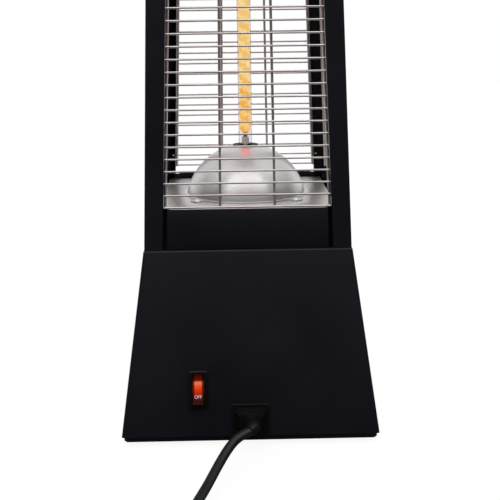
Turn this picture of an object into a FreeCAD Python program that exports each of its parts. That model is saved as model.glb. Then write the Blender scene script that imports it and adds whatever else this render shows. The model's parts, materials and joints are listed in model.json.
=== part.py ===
"""Infrared tower heater: a sloped sheet-metal base, a tapered four-post tower with welded wire guards,
and an upright quartz lamp between two spun reflectors. Millimetres, +Z up, the switch faces -Y.
The origin is on the floor, under the middle of the base."""
import FreeCAD, Part
import math
import os

os.makedirs("parts", exist_ok=True)
V = FreeCAD.Vector
UP = V(0, 0, 1)

# Sheet metal and general clearances
sheet = 1.2
bright_sheet = 1.0
spun_sheet = 0.8
fit_gap = 0.3
hole_gap = 0.2
turned_flats = 24
hole_flats = 8
screw_flats = 6
head_flats = 10
cord_flats = 6
weld_gap = 0.02

# Base housing
floor_gap = 4.0
plate_lip = 4.7
plate_inset = 1.6
plate_corner_clip = 3.2
base_bottom_width = 210.0
base_top_width = 166.4
base_height = 150.4
base_corner_radius = 2.0
bottom_flange = 16.0
plate_screw_spacing = 120.0
top_flange = 30.0

# Feet
foot_radius = 9.0
foot_taper = 1.2
foot_inset = 24.0
foot_recess_radius = 5.2
foot_recess_depth = 4.0

# Tower
tower_bottom_width = 165.0
tower_taper = 0.043
tower_height = 462.9
post_face = 14.6
post_lip = 6.0
post_tab = 12.0
bolt_inset = 8.2

# Closing panels between the posts
panel_recess = 1.5
panel_side_gap = 3.2
panel_flange = 11.0
panel_wing_gap = 0.4
panel_wing_lap = 1.0
front_panel_rise = 1.2
panel_rise = 4.5
panel_screw_spacing = 80.0

# Wire guards
wire_pitch = 9.5
row_wire_radius = 0.78
upright_wire_radius = 1.15
guard_depth = 2.7
first_row_above_deck = 2.5
guard_top_gap = 2.0
stub_length = 2.0
wire_flats = 6

# Decks, brackets and reflectors
deck_height = 31.2
upper_deck_drop = 36.0
deck_half = 71.5
upper_deck_half = 55.5
deck_flange = 6.0
bracket_width = 30.0
bracket_inset = 3.5
bracket_foot = 11.0
dome_sphere_radius = 52.5
dome_height = 42.0
dome_crown_radius = 12.0
dome_rim_radius = 54.0
dome_tab_reach = 9.0
dome_tab_width = 10.0
dome_flats = 40
dome_outer_bands = 7
dome_inner_bands = 4

# Lamp
tube_radius = 6.0
tube_wall = 1.2
tube_socket_depth = 8.0
lamp_cap_radius = 8.0
lamp_cap_length = 30.0
cap_chamfer = 1.0
holder_radius = 11.0
holder_height = 22.0
holder_floor = 3.7
holder_flange_radius = 17.0
holder_flange = 1.5
grommet_radius = 10.8
grommet_thickness = 1.2
ribbon_width = 8.4
ribbon_thickness = 1.8
ribbon_start_above_deck = 51.5
neck_width = 3.4
clip_width = 6.3
clip_depth = 4.0
clip_bottom_above_deck = 42.3
clip_height = 5.8
clip_stem_radius = 1.4

# Top cap
cap_skirt = 9.0
cap_headroom = 5.0
cap_rise = 13.0
cap_rim = 6.0
cap_peak_half = 9.0
frame_opening_half = 30.0

# Rocker switch, on the sloped front face
switch_x = -42.0
switch_z = 47.2
bezel_width = 15.6
bezel_height = 31.6
bezel_thickness = 2.0
bezel_corner = 1.6
switch_body_margin = 1.3
switch_body_depth = 18.0
rocker_width = 9.0
rocker_length = 24.4
rocker_crown = 3.1
rocker_dip = 1.3
rocker_depth = 7.0
rocker_pivot_height = 0.5
rocker_half_throw = 12.0
rocker_pin_radius = 1.2
rocker_pin_length = 1.2
rocker_end_gap = 0.9
blade_width = 6.3
blade_thickness = 0.8
blade_length = 10.0
switch_blade_spacing = 8.0

# Mains inlet and its connector, on the sloped front face
inlet_z = 23.3
inlet_width = 31.0
inlet_height = 24.4
inlet_flange = 2.2
inlet_corner = 2.0
inlet_body_margin = 1.8
inlet_body_depth = 20.0
nose_width = 24.0
nose_height = 16.0
nose_length = 17.2
nose_clip = 3.5
socket_depth = 18.0
pin_width = 2.0
pin_height = 4.0
pin_spacing = 7.0
pin_reach = 14.0
pin_tail = 10.0
earth_pin_rise = 2.5
pin_slot_gap = 0.4
grip_width = 26.0
grip_height = 19.0
grip_end_width = 17.0
grip_end_height = 14.5
grip_length = 11.5
grip_corner = 2.5
boot_radius = 6.0
boot_tip_radius = 4.7

# Mains lead: route of the stretch that lies free, from the connector's boot to the coil
cord_diameter = 7.4
lead_route = [
    (-9.0, -138.5, 24.5),
    (-14.2, -144.6, 21.8),
    (-20.2, -153.0, 18.1),
    (-26.6, -168.0, 14.9),
    (-32.7, -186.0, 11.0),
    (-38.7, -204.0, 9.4),
    (-46.6, -224.4, 6.2),
    (-56.6, -244.6, 4.6),
    (-65.0, -262.0, 5.2),
]
coil_turn_gap = 0.55
coil_turns = 6.5
coil_outer_radius = 53.0
tie_width = 11.0
tie_thickness = 1.0
tie_gap = 0.8
tie_angle = 60.0
plug_length = 34.0
plug_width = 26.0
plug_tip_width = 23.0
plug_corner = 4.0
plug_boot_length = 22.0
plug_boot_radius = 6.4
prong_width = 6.35
prong_thickness = 1.5
prong_length = 17.0
prong_spacing = 12.7
earth_prong_radius = 2.4
earth_prong_length = 20.0
earth_prong_offset = 7.0

# Tilt switch on the bottom plate
tilt_x = -45.0
tilt_y = 35.0
plunger_radius = 5.0
plunger_travel = 4.0
plunger_tip = 1.5
plunger_collar_radius = 8.0
plunger_collar = 2.5
guide_wall = 2.5
guide_height = 7.0
guide_flange = 2.0
guide_length = 46.0
guide_width = 24.0
cheek_thickness = 2.4
cheek_ledge = 2.0
micro_length = 28.0
micro_width = 10.3
micro_height = 16.0
micro_button_radius = 1.6
micro_button_length = 2.0

# Terminal block on the bottom plate
block_x = 40.0
block_y = 40.0
block_length = 40.0
block_width = 18.0
block_height = 15.0
block_rib = 4.0

# Wires and fasteners
lead_wire_radius = 1.7
screw_radius = 1.8
screw_head_radius = 3.6
screw_head = 2.2
bolt_radius = 2.0
bolt_head_radius = 3.5
bolt_head = 3.0
nut_height = 3.2
nut_flats = 7.0
small_screw_radius = 1.4
small_head_radius = 2.6
small_head = 1.8
rivet_radius = 1.5
rivet_head_radius = 3.0
rivet_head = 1.0

# Heights and slopes worked out from the values above
shell_bottom_z = floor_gap + plate_lip
shell_top_z = shell_bottom_z + base_height
base_slope = (base_bottom_width - base_top_width) / 2 / base_height
face_tilt = 90 - math.degrees(math.atan(base_slope))
plate_under_z = shell_bottom_z - sheet
tower_top_z = shell_top_z + tower_height
deck_z = shell_top_z + deck_height
upper_deck_z = tower_top_z - upper_deck_drop
lamp_mid_z = (deck_z + upper_deck_z) / 2


def base_half(z):
    """Half the housing's outer width at a height."""
    return base_top_width / 2 + base_slope * (shell_top_z - z)


def tower_half(z):
    """Half the tower's outer width at a height."""
    return tower_bottom_width / 2 - tower_taper * (z - shell_top_z)


def box(low, high):
    """A box between two corners."""
    return Part.makeBox(high[0] - low[0], high[1] - low[1], high[2] - low[2], V(*low))


def rod(start, direction, radius, length):
    """A round rod from a point along a direction."""
    return Part.makeCylinder(radius, length, V(*start), V(*direction))


def prism(points, travel):
    """A flat outline of points, extruded along a vector."""
    corners = [V(*point) for point in points]
    return Part.Face(Part.makePolygon(corners + corners[:1])).extrude(V(*travel))


def rounded_outline(width, height, radius, level):
    """A rectangle with rounded corners, centred on the Z axis at a level."""
    x = width / 2
    y = height / 2
    edges = []
    corners = [(x, y, 0), (-x, y, 90), (-x, -y, 180), (x, -y, 270)]
    ends = []
    for corner_x, corner_y, turn in corners:
        centre = V(corner_x - math.copysign(radius, corner_x), corner_y - math.copysign(radius, corner_y),
                   level)
        spots = [centre + V(math.cos(math.radians(turn + a)), math.sin(math.radians(turn + a)), 0) * radius
                 for a in (0, 45, 90)]
        ends.append(spots)
    for index, spots in enumerate(ends):
        edges.append(Part.Arc(*spots).toShape())
        edges.append(Part.makeLine(spots[2], ends[(index + 1) % 4][0]))
    return Part.Wire(edges)


def rounded_block(width, height, radius, low, high):
    """A block with rounded upright edges."""
    return Part.Face(rounded_outline(width, height, radius, low)).extrude(V(0, 0, high - low))


def flat_ring(centre, across, up, radius, flats):
    """The corners of a many-sided ring, its flats one radius from the centre, the first facing across."""
    corner = radius / math.cos(math.pi / flats)
    spots = []
    for index in range(flats):
        angle = (2 * index + 1) * math.pi / flats
        spots.append(centre + across * (corner * math.cos(angle)) + up * (corner * math.sin(angle)))
    return spots


def closed_wire(spots):
    """A closed outline through points."""
    return Part.makePolygon(spots + spots[:1])


def wire_bar(centre, across, up, radius, travel):
    """A guard wire with a few flats, its first flat facing across."""
    ring = flat_ring(V(*centre), V(*across), V(*up), radius, wire_flats)
    return Part.Face(closed_wire(ring)).extrude(V(*travel))


def side_of(way):
    """A direction square to the given one."""
    return way.cross(UP).normalize() if abs(way.z) < 0.9 else way.cross(V(1, 0, 0)).normalize()


def flat_rod(start, direction, radius, length, flats):
    """A rod with a few flats, for pieces that repeat or are hidden."""
    along = V(*direction)
    side = side_of(along)
    ring = flat_ring(V(*start), side, along.cross(side), radius, flats)
    return Part.Face(closed_wire(ring)).extrude(along * length)


def flat_cone(start, direction, radius, end_radius, length, flats):
    """A tapered rod with a few flats."""
    along = V(*direction)
    side = side_of(along)
    low = flat_ring(V(*start), side, along.cross(side), radius, flats)
    high = flat_ring(V(*start) + along * length, side, along.cross(side), end_radius, flats)
    return Part.makeLoft([closed_wire(low), closed_wire(high)], True, True)


def clipped_outline(width, height, clip, level):
    """A rectangle with its corners cut off, centred on the Z axis at a level."""
    x = width / 2
    y = height / 2
    spots = [(x, y - clip), (x - clip, y), (-x + clip, y), (-x, y - clip),
             (-x, -y + clip), (-x + clip, -y), (x - clip, -y), (x, -y + clip)]
    return closed_wire([V(u, v, level) for u, v in spots])


def turned(shape, quarter):
    """The shape turned about the tower's axis by quarter turns."""
    return shape.rotated(V(0, 0, 0), UP, 90 * quarter)


def flipped(shape):
    """The shape mirrored to the other end of the lamp."""
    return shape.mirror(V(0, 0, lamp_mid_z), UP)


def on_front(shape, x, z):
    """A shape drawn on a level panel, with +Z outwards, set on the sloped front face."""
    return shape.rotated(V(0, 0, 0), V(1, 0, 0), face_tilt).translated(V(x, -base_half(z), z))


def front_point(x, z, across, along, out):
    """A point given on the front face's own axes."""
    tilt = math.radians(face_tilt)
    y = -base_half(z) + along * math.cos(tilt) - out * math.sin(tilt)
    return V(x + across, y, z + along * math.sin(tilt) + out * math.cos(tilt))


def front_out():
    """The outward direction of the front face."""
    tilt = math.radians(face_tilt)
    return V(0, -math.sin(tilt), math.cos(tilt))


def save(name, shape):
    """Write one node."""
    shape.exportStep("parts/" + name + ".step")


def screw(seat, direction, radius, head_radius, head, length):
    """A pan-head screw: the head lies against the seat, the shank goes on along the direction."""
    back = V(*direction) * -1
    shank = flat_rod(seat, direction, radius * math.cos(math.pi / screw_flats), length, screw_flats)
    dome = flat_cone(seat, (back.x, back.y, back.z), head_radius, head_radius * 0.8, head, head_flats)
    return shank.fuse(dome)


def sheet_screw(seat, direction, length):
    """The screw used on the sheet-metal joints."""
    return screw(seat, direction, screw_radius, screw_head_radius, screw_head, length)


def small_screw(seat, direction, length):
    """The screw used on the small fittings."""
    return screw(seat, direction, small_screw_radius, small_head_radius, small_head, length)


def drilled(shape, spots, radius, bottom, top):
    """The shape with upright holes at the given places."""
    tools = [flat_rod((x, y, bottom), UP, radius, top - bottom, hole_flats) for x, y in spots]
    return shape.cut(Part.makeCompound(tools))


# Smooth round paths

def biarc(start, start_way, end, end_way):
    """Two tangent arcs between two points, each left in its own direction."""
    span = end - start
    both = start_way + end_way
    bend = 2 * (1 - start_way.dot(end_way))
    reach = span.dot(both)
    if bend < 1e-9:
        size = span.dot(span) / (4 * span.dot(end_way))
    else:
        size = (-reach + math.sqrt(reach * reach + bend * span.dot(span))) / bend
    corner_a = start + start_way * size
    corner_b = end - end_way * size
    middle = (corner_a + corner_b) * 0.5
    return [arc_edge(start, corner_a, middle), arc_edge(middle, corner_b, end)]


def arc_edge(start, corner, end):
    """The arc that is tangent to both sides of a corner with equal legs."""
    chord = (start + end) * 0.5
    lift = corner - chord
    half = (end - start).Length / 2
    if lift.Length < half * 1e-6:
        return Part.makeLine(start, end)
    rise = half * math.tan(math.atan2(lift.Length, half) / 2)
    return Part.Arc(start, chord + lift * (rise / lift.Length), end).toShape()


def rounded_path(points, name, share=0.45):
    """Straight runs joined by arcs as large as the runs allow; prints the radii."""
    spots = [V(*point) for point in points]
    edges = []
    radii = []
    tail = spots[0]
    for before, corner, after in zip(spots, spots[1:], spots[2:]):
        way_in = (corner - before).normalize()
        way_out = (after - corner).normalize()
        cut = share * min((corner - before).Length, (after - corner).Length)
        half_turn = way_in.getAngle(way_out) / 2
        radii.append(cut / math.tan(half_turn))
        first = corner - way_in * cut
        last = corner + way_out * cut
        edges.append(Part.makeLine(tail, first))
        edges.append(arc_edge(first, corner, last))
        tail = last
    edges.append(Part.makeLine(tail, spots[-1]))
    print(name, "bend radii", [round(radius, 1) for radius in radii])
    return Part.Wire(edges)


def swept(path, radius, name):
    """A tube with a few flats along a path; prints its volume against section times length."""
    edge = path.OrderedEdges[0]
    way = edge.tangentAt(edge.FirstParameter)
    side = side_of(way)
    start = edge.valueAt(edge.FirstParameter)
    inner = radius * math.cos(math.pi / cord_flats)
    outline = closed_wire(flat_ring(start, side, side.cross(way), inner, cord_flats))
    tube = path.makePipeShell([outline], True, False)
    section = Part.Face(outline).Area
    ratio = abs(tube.Volume) / (section * path.Length)
    print(name, "volume ratio", round(ratio, 4), "length", round(path.Length, 1))
    return tube


# Where the fasteners sit

plate_screw_spots = []
for side in (-1, 1):
    for step in (-plate_screw_spacing / 2, plate_screw_spacing / 2):
        plate_screw_spots.append((step, side * (base_bottom_width / 2 - bottom_flange / 2 - sheet)))
        plate_screw_spots.append((side * (base_bottom_width / 2 - bottom_flange / 2 - sheet), step))
foot_place = base_bottom_width / 2 - foot_inset
foot_spots = [(x, y) for x in (-foot_place, foot_place) for y in (-foot_place, foot_place)]
bolt_place = tower_half(shell_top_z) - bolt_inset
bolt_spots = [(x, y) for x in (-bolt_place, bolt_place) for y in (-bolt_place, bolt_place)]
top_tab_place = tower_half(tower_top_z) - bolt_inset
top_tab_spots = [(x, y) for x in (-top_tab_place, top_tab_place) for y in (-top_tab_place, top_tab_place)]


def side_spots(across, out):
    """Two places on each of the four sides, or one where across is nothing."""
    spots = []
    for step in sorted({-across, across}):
        spots += [(step, -out), (out, step), (step, out), (-out, step)]
    return spots


panel_screw_place = tower_half(shell_top_z) - panel_recess - panel_flange / 2 - sheet / 2
panel_screw_spots = side_spots(panel_screw_spacing / 2, panel_screw_place)
top_screw_place = tower_half(tower_top_z) - panel_recess - panel_flange / 2 - sheet / 2
top_screw_across = tower_half(tower_top_z) - post_face - panel_side_gap - screw_head_radius - 2 * sheet
top_screw_spots = side_spots(top_screw_across, top_screw_place)
bracket_web = deck_half - bright_sheet - bracket_inset
upper_bracket_web = upper_deck_half - bright_sheet - bracket_inset - (upper_deck_half - bright_sheet) * 0.08
bracket_spots = side_spots(0, bracket_web - sheet - bracket_foot / 2)
upper_bracket_spots = side_spots(0, upper_bracket_web - sheet - bracket_foot / 2)
lead_corner_inset = sheet + lead_wire_radius + 2 * fit_gap
lead_notch = lead_corner_inset + lead_wire_radius + 4 * fit_gap


# Base housing: four sloped walls of one folded sheet, with an inward flange at the top and the bottom

def frustum(low, high, inset, radius):
    """The housing's sloped block between two heights, drawn in by an inset, with its sloped edges rounded."""
    wide = base_half(low) - inset
    narrow = base_half(high) - inset
    block = Part.makeWedge(-wide, low, -wide, -narrow, -narrow, wide, high, wide, narrow, narrow)
    block = block.rotated(V(0, 0, 0), V(1, 0, 0), 90)
    sloped = [edge for edge in block.Edges if edge.BoundBox.ZLength > (high - low) / 2]
    return block.makeFillet(radius, sloped)


wall_inset = sheet * math.sqrt(1 + base_slope * base_slope)
shell = frustum(shell_bottom_z, shell_top_z, 0, base_corner_radius)
inside = frustum(shell_bottom_z + sheet, shell_top_z - sheet, wall_inset, base_corner_radius - sheet / 2)
bottom_hole = base_bottom_width - 2 * bottom_flange
top_hole = base_top_width - 2 * top_flange
shell = shell.cut(inside)
shell = shell.cut(rounded_block(bottom_hole, bottom_hole, 6, shell_bottom_z - 1, shell_bottom_z + sheet + 1))
shell = shell.cut(rounded_block(top_hole, top_hole, 6, shell_top_z - sheet - 1, shell_top_z + 1))
switch_body_width = rocker_width + 2 * fit_gap + 2 * switch_body_margin + 1
switch_body_height = rocker_length + 2 * rocker_end_gap + 2 * switch_body_margin
switch_hole_x = switch_body_width / 2 + hole_gap
switch_hole_y = switch_body_height / 2 + hole_gap
switch_hole = box((-switch_hole_x, -switch_hole_y, -6), (switch_hole_x, switch_hole_y, 6))
inlet_body_width = inlet_width - 2 * inlet_body_margin
inlet_body_height = inlet_height - 2 * inlet_body_margin
inlet_hole_x = inlet_body_width / 2 + hole_gap
inlet_hole_y = inlet_body_height / 2 + hole_gap
inlet_hole = box((-inlet_hole_x, -inlet_hole_y, -6), (inlet_hole_x, inlet_hole_y, 6))
shell = shell.cut(on_front(switch_hole, switch_x, switch_z))
shell = shell.cut(on_front(inlet_hole, 0, inlet_z))
shell = drilled(shell, plate_screw_spots, screw_radius + hole_gap, shell_bottom_z - 1,
                shell_bottom_z + sheet + 1)
shell = drilled(shell, bolt_spots, bolt_radius + hole_gap, shell_top_z - sheet - 1, shell_top_z + 1)
flange_spots = panel_screw_spots + bracket_spots
shell = drilled(shell, flange_spots, screw_radius + hole_gap, shell_top_z - sheet - 1, shell_top_z + 1)
lead_hole_far = tower_half(shell_top_z) - sheet
lead_hole_near = tower_half(shell_top_z) - lead_notch
lead_hole = box((lead_hole_near, lead_hole_near, shell_top_z - sheet - 1),
                (lead_hole_far, lead_hole_far, shell_top_z + 1))
shell = shell.cut(lead_hole)
print("shell solids", len(shell.Solids), "volume", round(shell.Volume))
save("base_shell", shell)

# Bottom plate: a sheet with its edges turned down and its corners clipped
plate_half = base_bottom_width / 2 - plate_inset


def clipped_square(half, clip, low, high):
    """A square block with its four upright corners cut off."""
    inner = half - clip
    outline = [(half, inner), (inner, half), (-inner, half), (-half, inner),
               (-half, -inner), (-inner, -half), (inner, -half), (half, -inner)]
    return prism([(x, y, low) for x, y in outline], (0, 0, high - low))


plate = clipped_square(plate_half, plate_corner_clip, floor_gap, shell_bottom_z)
plate = plate.cut(clipped_square(plate_half - sheet, plate_corner_clip, floor_gap - 1, plate_under_z))
plate = drilled(plate, plate_screw_spots, screw_radius + hole_gap, plate_under_z - 1, shell_bottom_z + 1)
plate = drilled(plate, foot_spots, bolt_radius + hole_gap, plate_under_z - 1, shell_bottom_z + 1)
plunger_bore = plunger_radius + fit_gap
guide_radius = plunger_bore + guide_wall
guide_hole = flat_rod((tilt_x, tilt_y, plate_under_z - 1), UP, guide_radius + hole_gap, sheet + 2,
                      turned_flats)
plate = plate.cut(guide_hole)
guide_screw_spots = [(tilt_x + end * (guide_length / 2 - small_head_radius - 0.4), tilt_y - guide_width / 4)
                     for end in (-1, 1)]
block_screw_spots = [(block_x, block_y - block_width / 4), (block_x, block_y + block_width / 4)]
plate = drilled(plate, guide_screw_spots + block_screw_spots, small_screw_radius + hole_gap,
                plate_under_z - 1, shell_bottom_z + 1)
save("bottom_plate", plate)

# Rubber feet, each held by a screw in a recess
feet = []
foot_screws = []
for x, y in foot_spots:
    foot = flat_cone((x, y, 0), UP, foot_radius - foot_taper, foot_radius, plate_under_z, turned_flats)
    foot = foot.cut(flat_rod((x, y, -1), UP, foot_recess_radius, foot_recess_depth + 1, turned_flats))
    foot = foot.cut(flat_rod((x, y, 0), UP, bolt_radius + hole_gap, plate_under_z + 1, hole_flats))
    feet.append(foot)
    foot_screws.append(screw((x, y, foot_recess_depth), UP, bolt_radius, screw_head_radius, screw_head,
                             shell_bottom_z - foot_recess_depth + 4))
save("rubber_feet", Part.makeCompound(feet))
save("foot_screws", Part.makeCompound(foot_screws))

# Tilt switch: a plunger that the floor holds up, guided in a moulding that carries a snap-action switch
guide_top = shell_bottom_z + guide_height
collar_low = guide_top + plunger_travel + fit_gap
collar_high = collar_low + plunger_collar
micro_low = collar_high + fit_gap + micro_button_length
plunger = flat_rod((tilt_x, tilt_y, plunger_tip), UP, plunger_radius, collar_high - plunger_tip, turned_flats)
plunger = plunger.fuse(flat_cone((tilt_x, tilt_y, 0), UP, plunger_radius - plunger_tip, plunger_radius,
                                 plunger_tip, turned_flats))
plunger = plunger.fuse(flat_rod((tilt_x, tilt_y, collar_low), UP, plunger_collar_radius, plunger_collar,
                                turned_flats))
save("tilt_plunger", plunger)

cheek_in = micro_length / 2 + hole_gap
cheek_out = cheek_in + cheek_thickness
guide = box((tilt_x - guide_length / 2, tilt_y - guide_width / 2, shell_bottom_z),
            (tilt_x + guide_length / 2, tilt_y + guide_width / 2, shell_bottom_z + guide_flange))
guide = guide.fuse(flat_rod((tilt_x, tilt_y, plate_under_z), UP, guide_radius, guide_top - plate_under_z,
                            turned_flats))
for end in (-1, 1):
    low_x, high_x = sorted((tilt_x + end * cheek_in, tilt_x + end * cheek_out))
    guide = guide.fuse(box((low_x, tilt_y - micro_width / 2, shell_bottom_z),
                           (high_x, tilt_y + micro_width / 2, micro_low + micro_height)))
    low_x, high_x = sorted((tilt_x + end * (cheek_in - cheek_ledge), tilt_x + end * cheek_out))
    guide = guide.fuse(box((low_x, tilt_y - micro_width / 2, micro_low - cheek_ledge),
                           (high_x, tilt_y + micro_width / 2, micro_low)))
guide = guide.cut(flat_rod((tilt_x, tilt_y, plate_under_z - 1), UP, plunger_bore, guide_top + 2,
                           turned_flats))
guide = drilled(guide, guide_screw_spots, small_screw_radius + hole_gap, shell_bottom_z - 1,
                shell_bottom_z + guide_flange + 1)
save("tilt_guide", guide)

micro = box((tilt_x - micro_length / 2, tilt_y - micro_width / 2, micro_low),
            (tilt_x + micro_length / 2, tilt_y + micro_width / 2, micro_low + micro_height))
micro = micro.fuse(flat_rod((tilt_x, tilt_y, micro_low - micro_button_length), UP, micro_button_radius,
                            micro_button_length + 1, hole_flats))
micro_top = micro_low + micro_height
micro_blades = []
for end in (-1, 1):
    blade_x = tilt_x + end * micro_length / 4
    micro_blades.append((blade_x, tilt_y, micro_top + blade_length * 0.7))
    micro = micro.fuse(box((blade_x - blade_width / 2, tilt_y - blade_thickness / 2, micro_top - 1),
                           (blade_x + blade_width / 2, tilt_y + blade_thickness / 2,
                            micro_top + blade_length * 0.7)))
save("tilt_switch", micro)

# Terminal block: a ribbed moulding with a screw well for each joint
block_bottom = shell_bottom_z
block_top = block_bottom + block_height
block = box((block_x - block_length / 2, block_y - block_width / 2, block_bottom),
            (block_x + block_length / 2, block_y + block_width / 2, block_top))
wells = 4
well_pitch = (block_length - block_rib) / wells
block_wells = []
for index in range(wells):
    well_x = block_x - block_length / 2 + block_rib / 2 + (index + 0.5) * well_pitch
    block_wells.append(well_x)
    for side in (-1, 1):
        notch_y = sorted((block_y + side * (block_width / 2 + 1),
                          block_y + side * (block_width / 2 - block_rib)))
        notch_half = well_pitch / 2 - block_rib / 4
        block = block.cut(box((well_x - notch_half, notch_y[0], block_top - block_height / 2),
                              (well_x + notch_half, notch_y[1], block_top + 1)))
block_head_z = block_top - block_height / 3
for x, y in block_screw_spots:
    block = block.cut(flat_rod((x, y, block_head_z), UP, small_head_radius + hole_gap, block_height,
                               head_flats))
    block = block.cut(flat_rod((x, y, block_bottom - 1), UP, small_screw_radius + hole_gap, block_height + 2,
                               hole_flats))
save("terminal_block", block)

small_screws = []
for x, y in guide_screw_spots:
    small_screws.append(small_screw((x, y, shell_bottom_z + guide_flange), (0, 0, -1),
                                    guide_flange + sheet + 1.2))
for x, y in block_screw_spots:
    small_screws.append(small_screw((x, y, block_head_z), (0, 0, -1), block_head_z - plate_under_z + 1.2))

# Rocker switch: a bezel with a box behind the panel, and a red rocker on two side pins
pocket_width = rocker_width + 2 * fit_gap
pocket_length = rocker_length + 2 * rocker_end_gap
rocker_sweep = math.hypot(rocker_length / 4, rocker_depth)
pocket_floor = rocker_pivot_height - rocker_sweep - 1.0
housing = rounded_block(bezel_width, bezel_height, bezel_corner, 0, bezel_thickness)
lip = [edge for edge in housing.Edges if abs(edge.CenterOfMass.z - bezel_thickness) < 0.01]
housing = housing.makeChamfer(0.6, lip)
housing = housing.fuse(rounded_block(switch_body_width, switch_body_height, 0.8, -switch_body_depth, 0))
housing = housing.cut(box((-pocket_width / 2, -pocket_length / 2, pocket_floor),
                          (pocket_width / 2, pocket_length / 2, bezel_thickness + 1)))
pin_reach_out = rocker_width / 2 + rocker_pin_length
housing = housing.cut(rod((-pin_reach_out - fit_gap, 0, rocker_pivot_height), (1, 0, 0),
                          rocker_pin_radius + 0.08, 2 * (pin_reach_out + fit_gap)))
save("switch_housing", on_front(housing, switch_x, switch_z))

half_rocker = rocker_length / 2
rocker_profile = [(half_rocker, rocker_crown), (half_rocker, -rocker_depth * 0.25),
                  (half_rocker / 2, -rocker_depth), (-half_rocker / 2, -rocker_depth),
                  (-half_rocker, -rocker_depth * 0.25), (-half_rocker, rocker_crown)]
corners = [V(-rocker_width / 2, y, z) for y, z in rocker_profile]
dish = Part.Arc(corners[-1], V(-rocker_width / 2, 0, rocker_dip), corners[0]).toShape()
outline = Part.Wire(Part.makePolygon(corners).Edges + [dish])
rocker = Part.Face(outline).extrude(V(rocker_width, 0, 0))
rocker = rocker.fuse(rod((-pin_reach_out, 0, 0), (1, 0, 0), rocker_pin_radius, 2 * pin_reach_out))
rocker = rocker.rotated(V(0, 0, 0), V(1, 0, 0), -rocker_half_throw).translated(V(0, 0, rocker_pivot_height))
save("switch_rocker", on_front(rocker, switch_x, switch_z))
pivot = front_point(switch_x, switch_z, 0, 0, rocker_pivot_height)
print("rocker pivot", [round(value, 4) for value in pivot])

switch_blades = []
for index in (-1, 0, 1):
    place = index * switch_blade_spacing
    blade = box((-blade_thickness / 2, place - blade_width / 2 + 0.4, -switch_body_depth - blade_length),
                (blade_thickness / 2, place + blade_width / 2 - 0.4, -switch_body_depth))
    switch_blades.append(on_front(blade, switch_x, switch_z))
save("switch_terminals", Part.makeCompound(switch_blades))

# Mains inlet: a flanged socket with three pins


def inlet_shape(width, height, clip, low, high):
    """The socket's outline: a rectangle with its two upper corners cut."""
    x = width / 2
    y = height / 2
    outline = [(-x, -y), (x, -y), (x, y - clip), (x - clip, y), (-x + clip, y), (-x, y - clip)]
    return prism([(u, v, low) for u, v in outline], (0, 0, high - low))


pin_places = [(-pin_spacing, -1.0), (0, earth_pin_rise), (pin_spacing, -1.0)]
socket_floor = inlet_flange - socket_depth
inlet = rounded_block(inlet_width, inlet_height, inlet_corner, 0, inlet_flange)
inlet = inlet.fuse(rounded_block(inlet_body_width, inlet_body_height, 1.2, -inlet_body_depth, 0))
inlet = inlet.cut(inlet_shape(nose_width + 2 * fit_gap, nose_height + 2 * fit_gap, nose_clip, socket_floor,
                              inlet_flange + 1))
pins = []
for u, v in pin_places:
    pin = box((u - pin_width / 2, v - pin_height / 2, -inlet_body_depth - pin_tail),
              (u + pin_width / 2, v + pin_height / 2, socket_floor + pin_reach))
    inlet = inlet.cut(pin)
    pins.append(on_front(pin, 0, inlet_z))
save("inlet_body", on_front(inlet, 0, inlet_z))
save("inlet_pins", Part.makeCompound(pins))

# Connector: a nose in the socket, a tapered grip, and a boot that bends with the lead
shoulder = inlet_flange + fit_gap
grip_end = shoulder + grip_length
nose = inlet_shape(nose_width, nose_height, nose_clip, shoulder - nose_length, shoulder)
for u, v in pin_places:
    slot_half = V(pin_width / 2 + pin_slot_gap, pin_height / 2 + pin_slot_gap, 0)
    nose = nose.cut(box((u - slot_half.x, v - slot_half.y, shoulder - nose_length - 1),
                        (u + slot_half.x, v + slot_half.y, socket_floor + pin_reach + 2 * pin_slot_gap)))
grip = Part.makeLoft([clipped_outline(grip_width, grip_height, grip_corner, shoulder),
                      clipped_outline(grip_end_width, grip_end_height, grip_corner, grip_end)], True, True)
connector = on_front(nose.fuse(grip), 0, inlet_z)
boot_start = front_point(0, inlet_z, 0, 0, grip_end - 1.0)
boot_end = V(*lead_route[0])
lead_way = (V(*lead_route[1]) - boot_end).normalize()
boot_axis = Part.Wire(biarc(boot_start, front_out(), boot_end, lead_way))
boot_rings = []
boot_steps = 6
for index in range(boot_steps + 1):
    share = index / boot_steps
    edge = boot_axis.OrderedEdges[0 if share <= 0.5 else 1]
    local = share * 2 if share <= 0.5 else share * 2 - 1
    at = edge.FirstParameter + (edge.LastParameter - edge.FirstParameter) * local
    way = edge.tangentAt(at)
    side = side_of(way)
    thickness = boot_radius + (boot_tip_radius - boot_radius) * share
    boot_rings.append(closed_wire(flat_ring(edge.valueAt(at), side, side.cross(way), thickness, head_flats)))
boot = Part.makeLoft(boot_rings, True, True)
save("connector", connector.fuse(boot))

# Mains lead: the free stretch, then the rest of its length wound in two layers and tied
cord_radius = cord_diameter / 2
save("cord_lead", swept(rounded_path(lead_route, "cord_lead"), cord_radius, "cord_lead"))

coil_start = V(*lead_route[-1])
entry_way = coil_start - V(*lead_route[-2])
entry_way = V(entry_way.x, entry_way.y, 0).normalize()
coil_centre = coil_start + V(-entry_way.y, entry_way.x, 0) * coil_outer_radius
start_angle = math.atan2(coil_start.y - coil_centre.y, coil_start.x - coil_centre.x)
turn_step = cord_diameter + coil_turn_gap
reverse_turn = coil_turns / 2
coil_inner_radius = coil_outer_radius - turn_step * reverse_turn


def coil_point(turn):
    """A point of the winding: in for half the turns, up a layer at the reverse, and out again."""
    radius = coil_inner_radius + turn_step * abs(turn - reverse_turn)
    climb = min(max((turn - reverse_turn) / 0.5 + 0.5, 0), 1)
    climb = climb * climb * (3 - 2 * climb)
    angle = start_angle + turn * 2 * math.pi
    return coil_centre + V(radius * math.cos(angle), radius * math.sin(angle), turn_step * climb)


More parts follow.
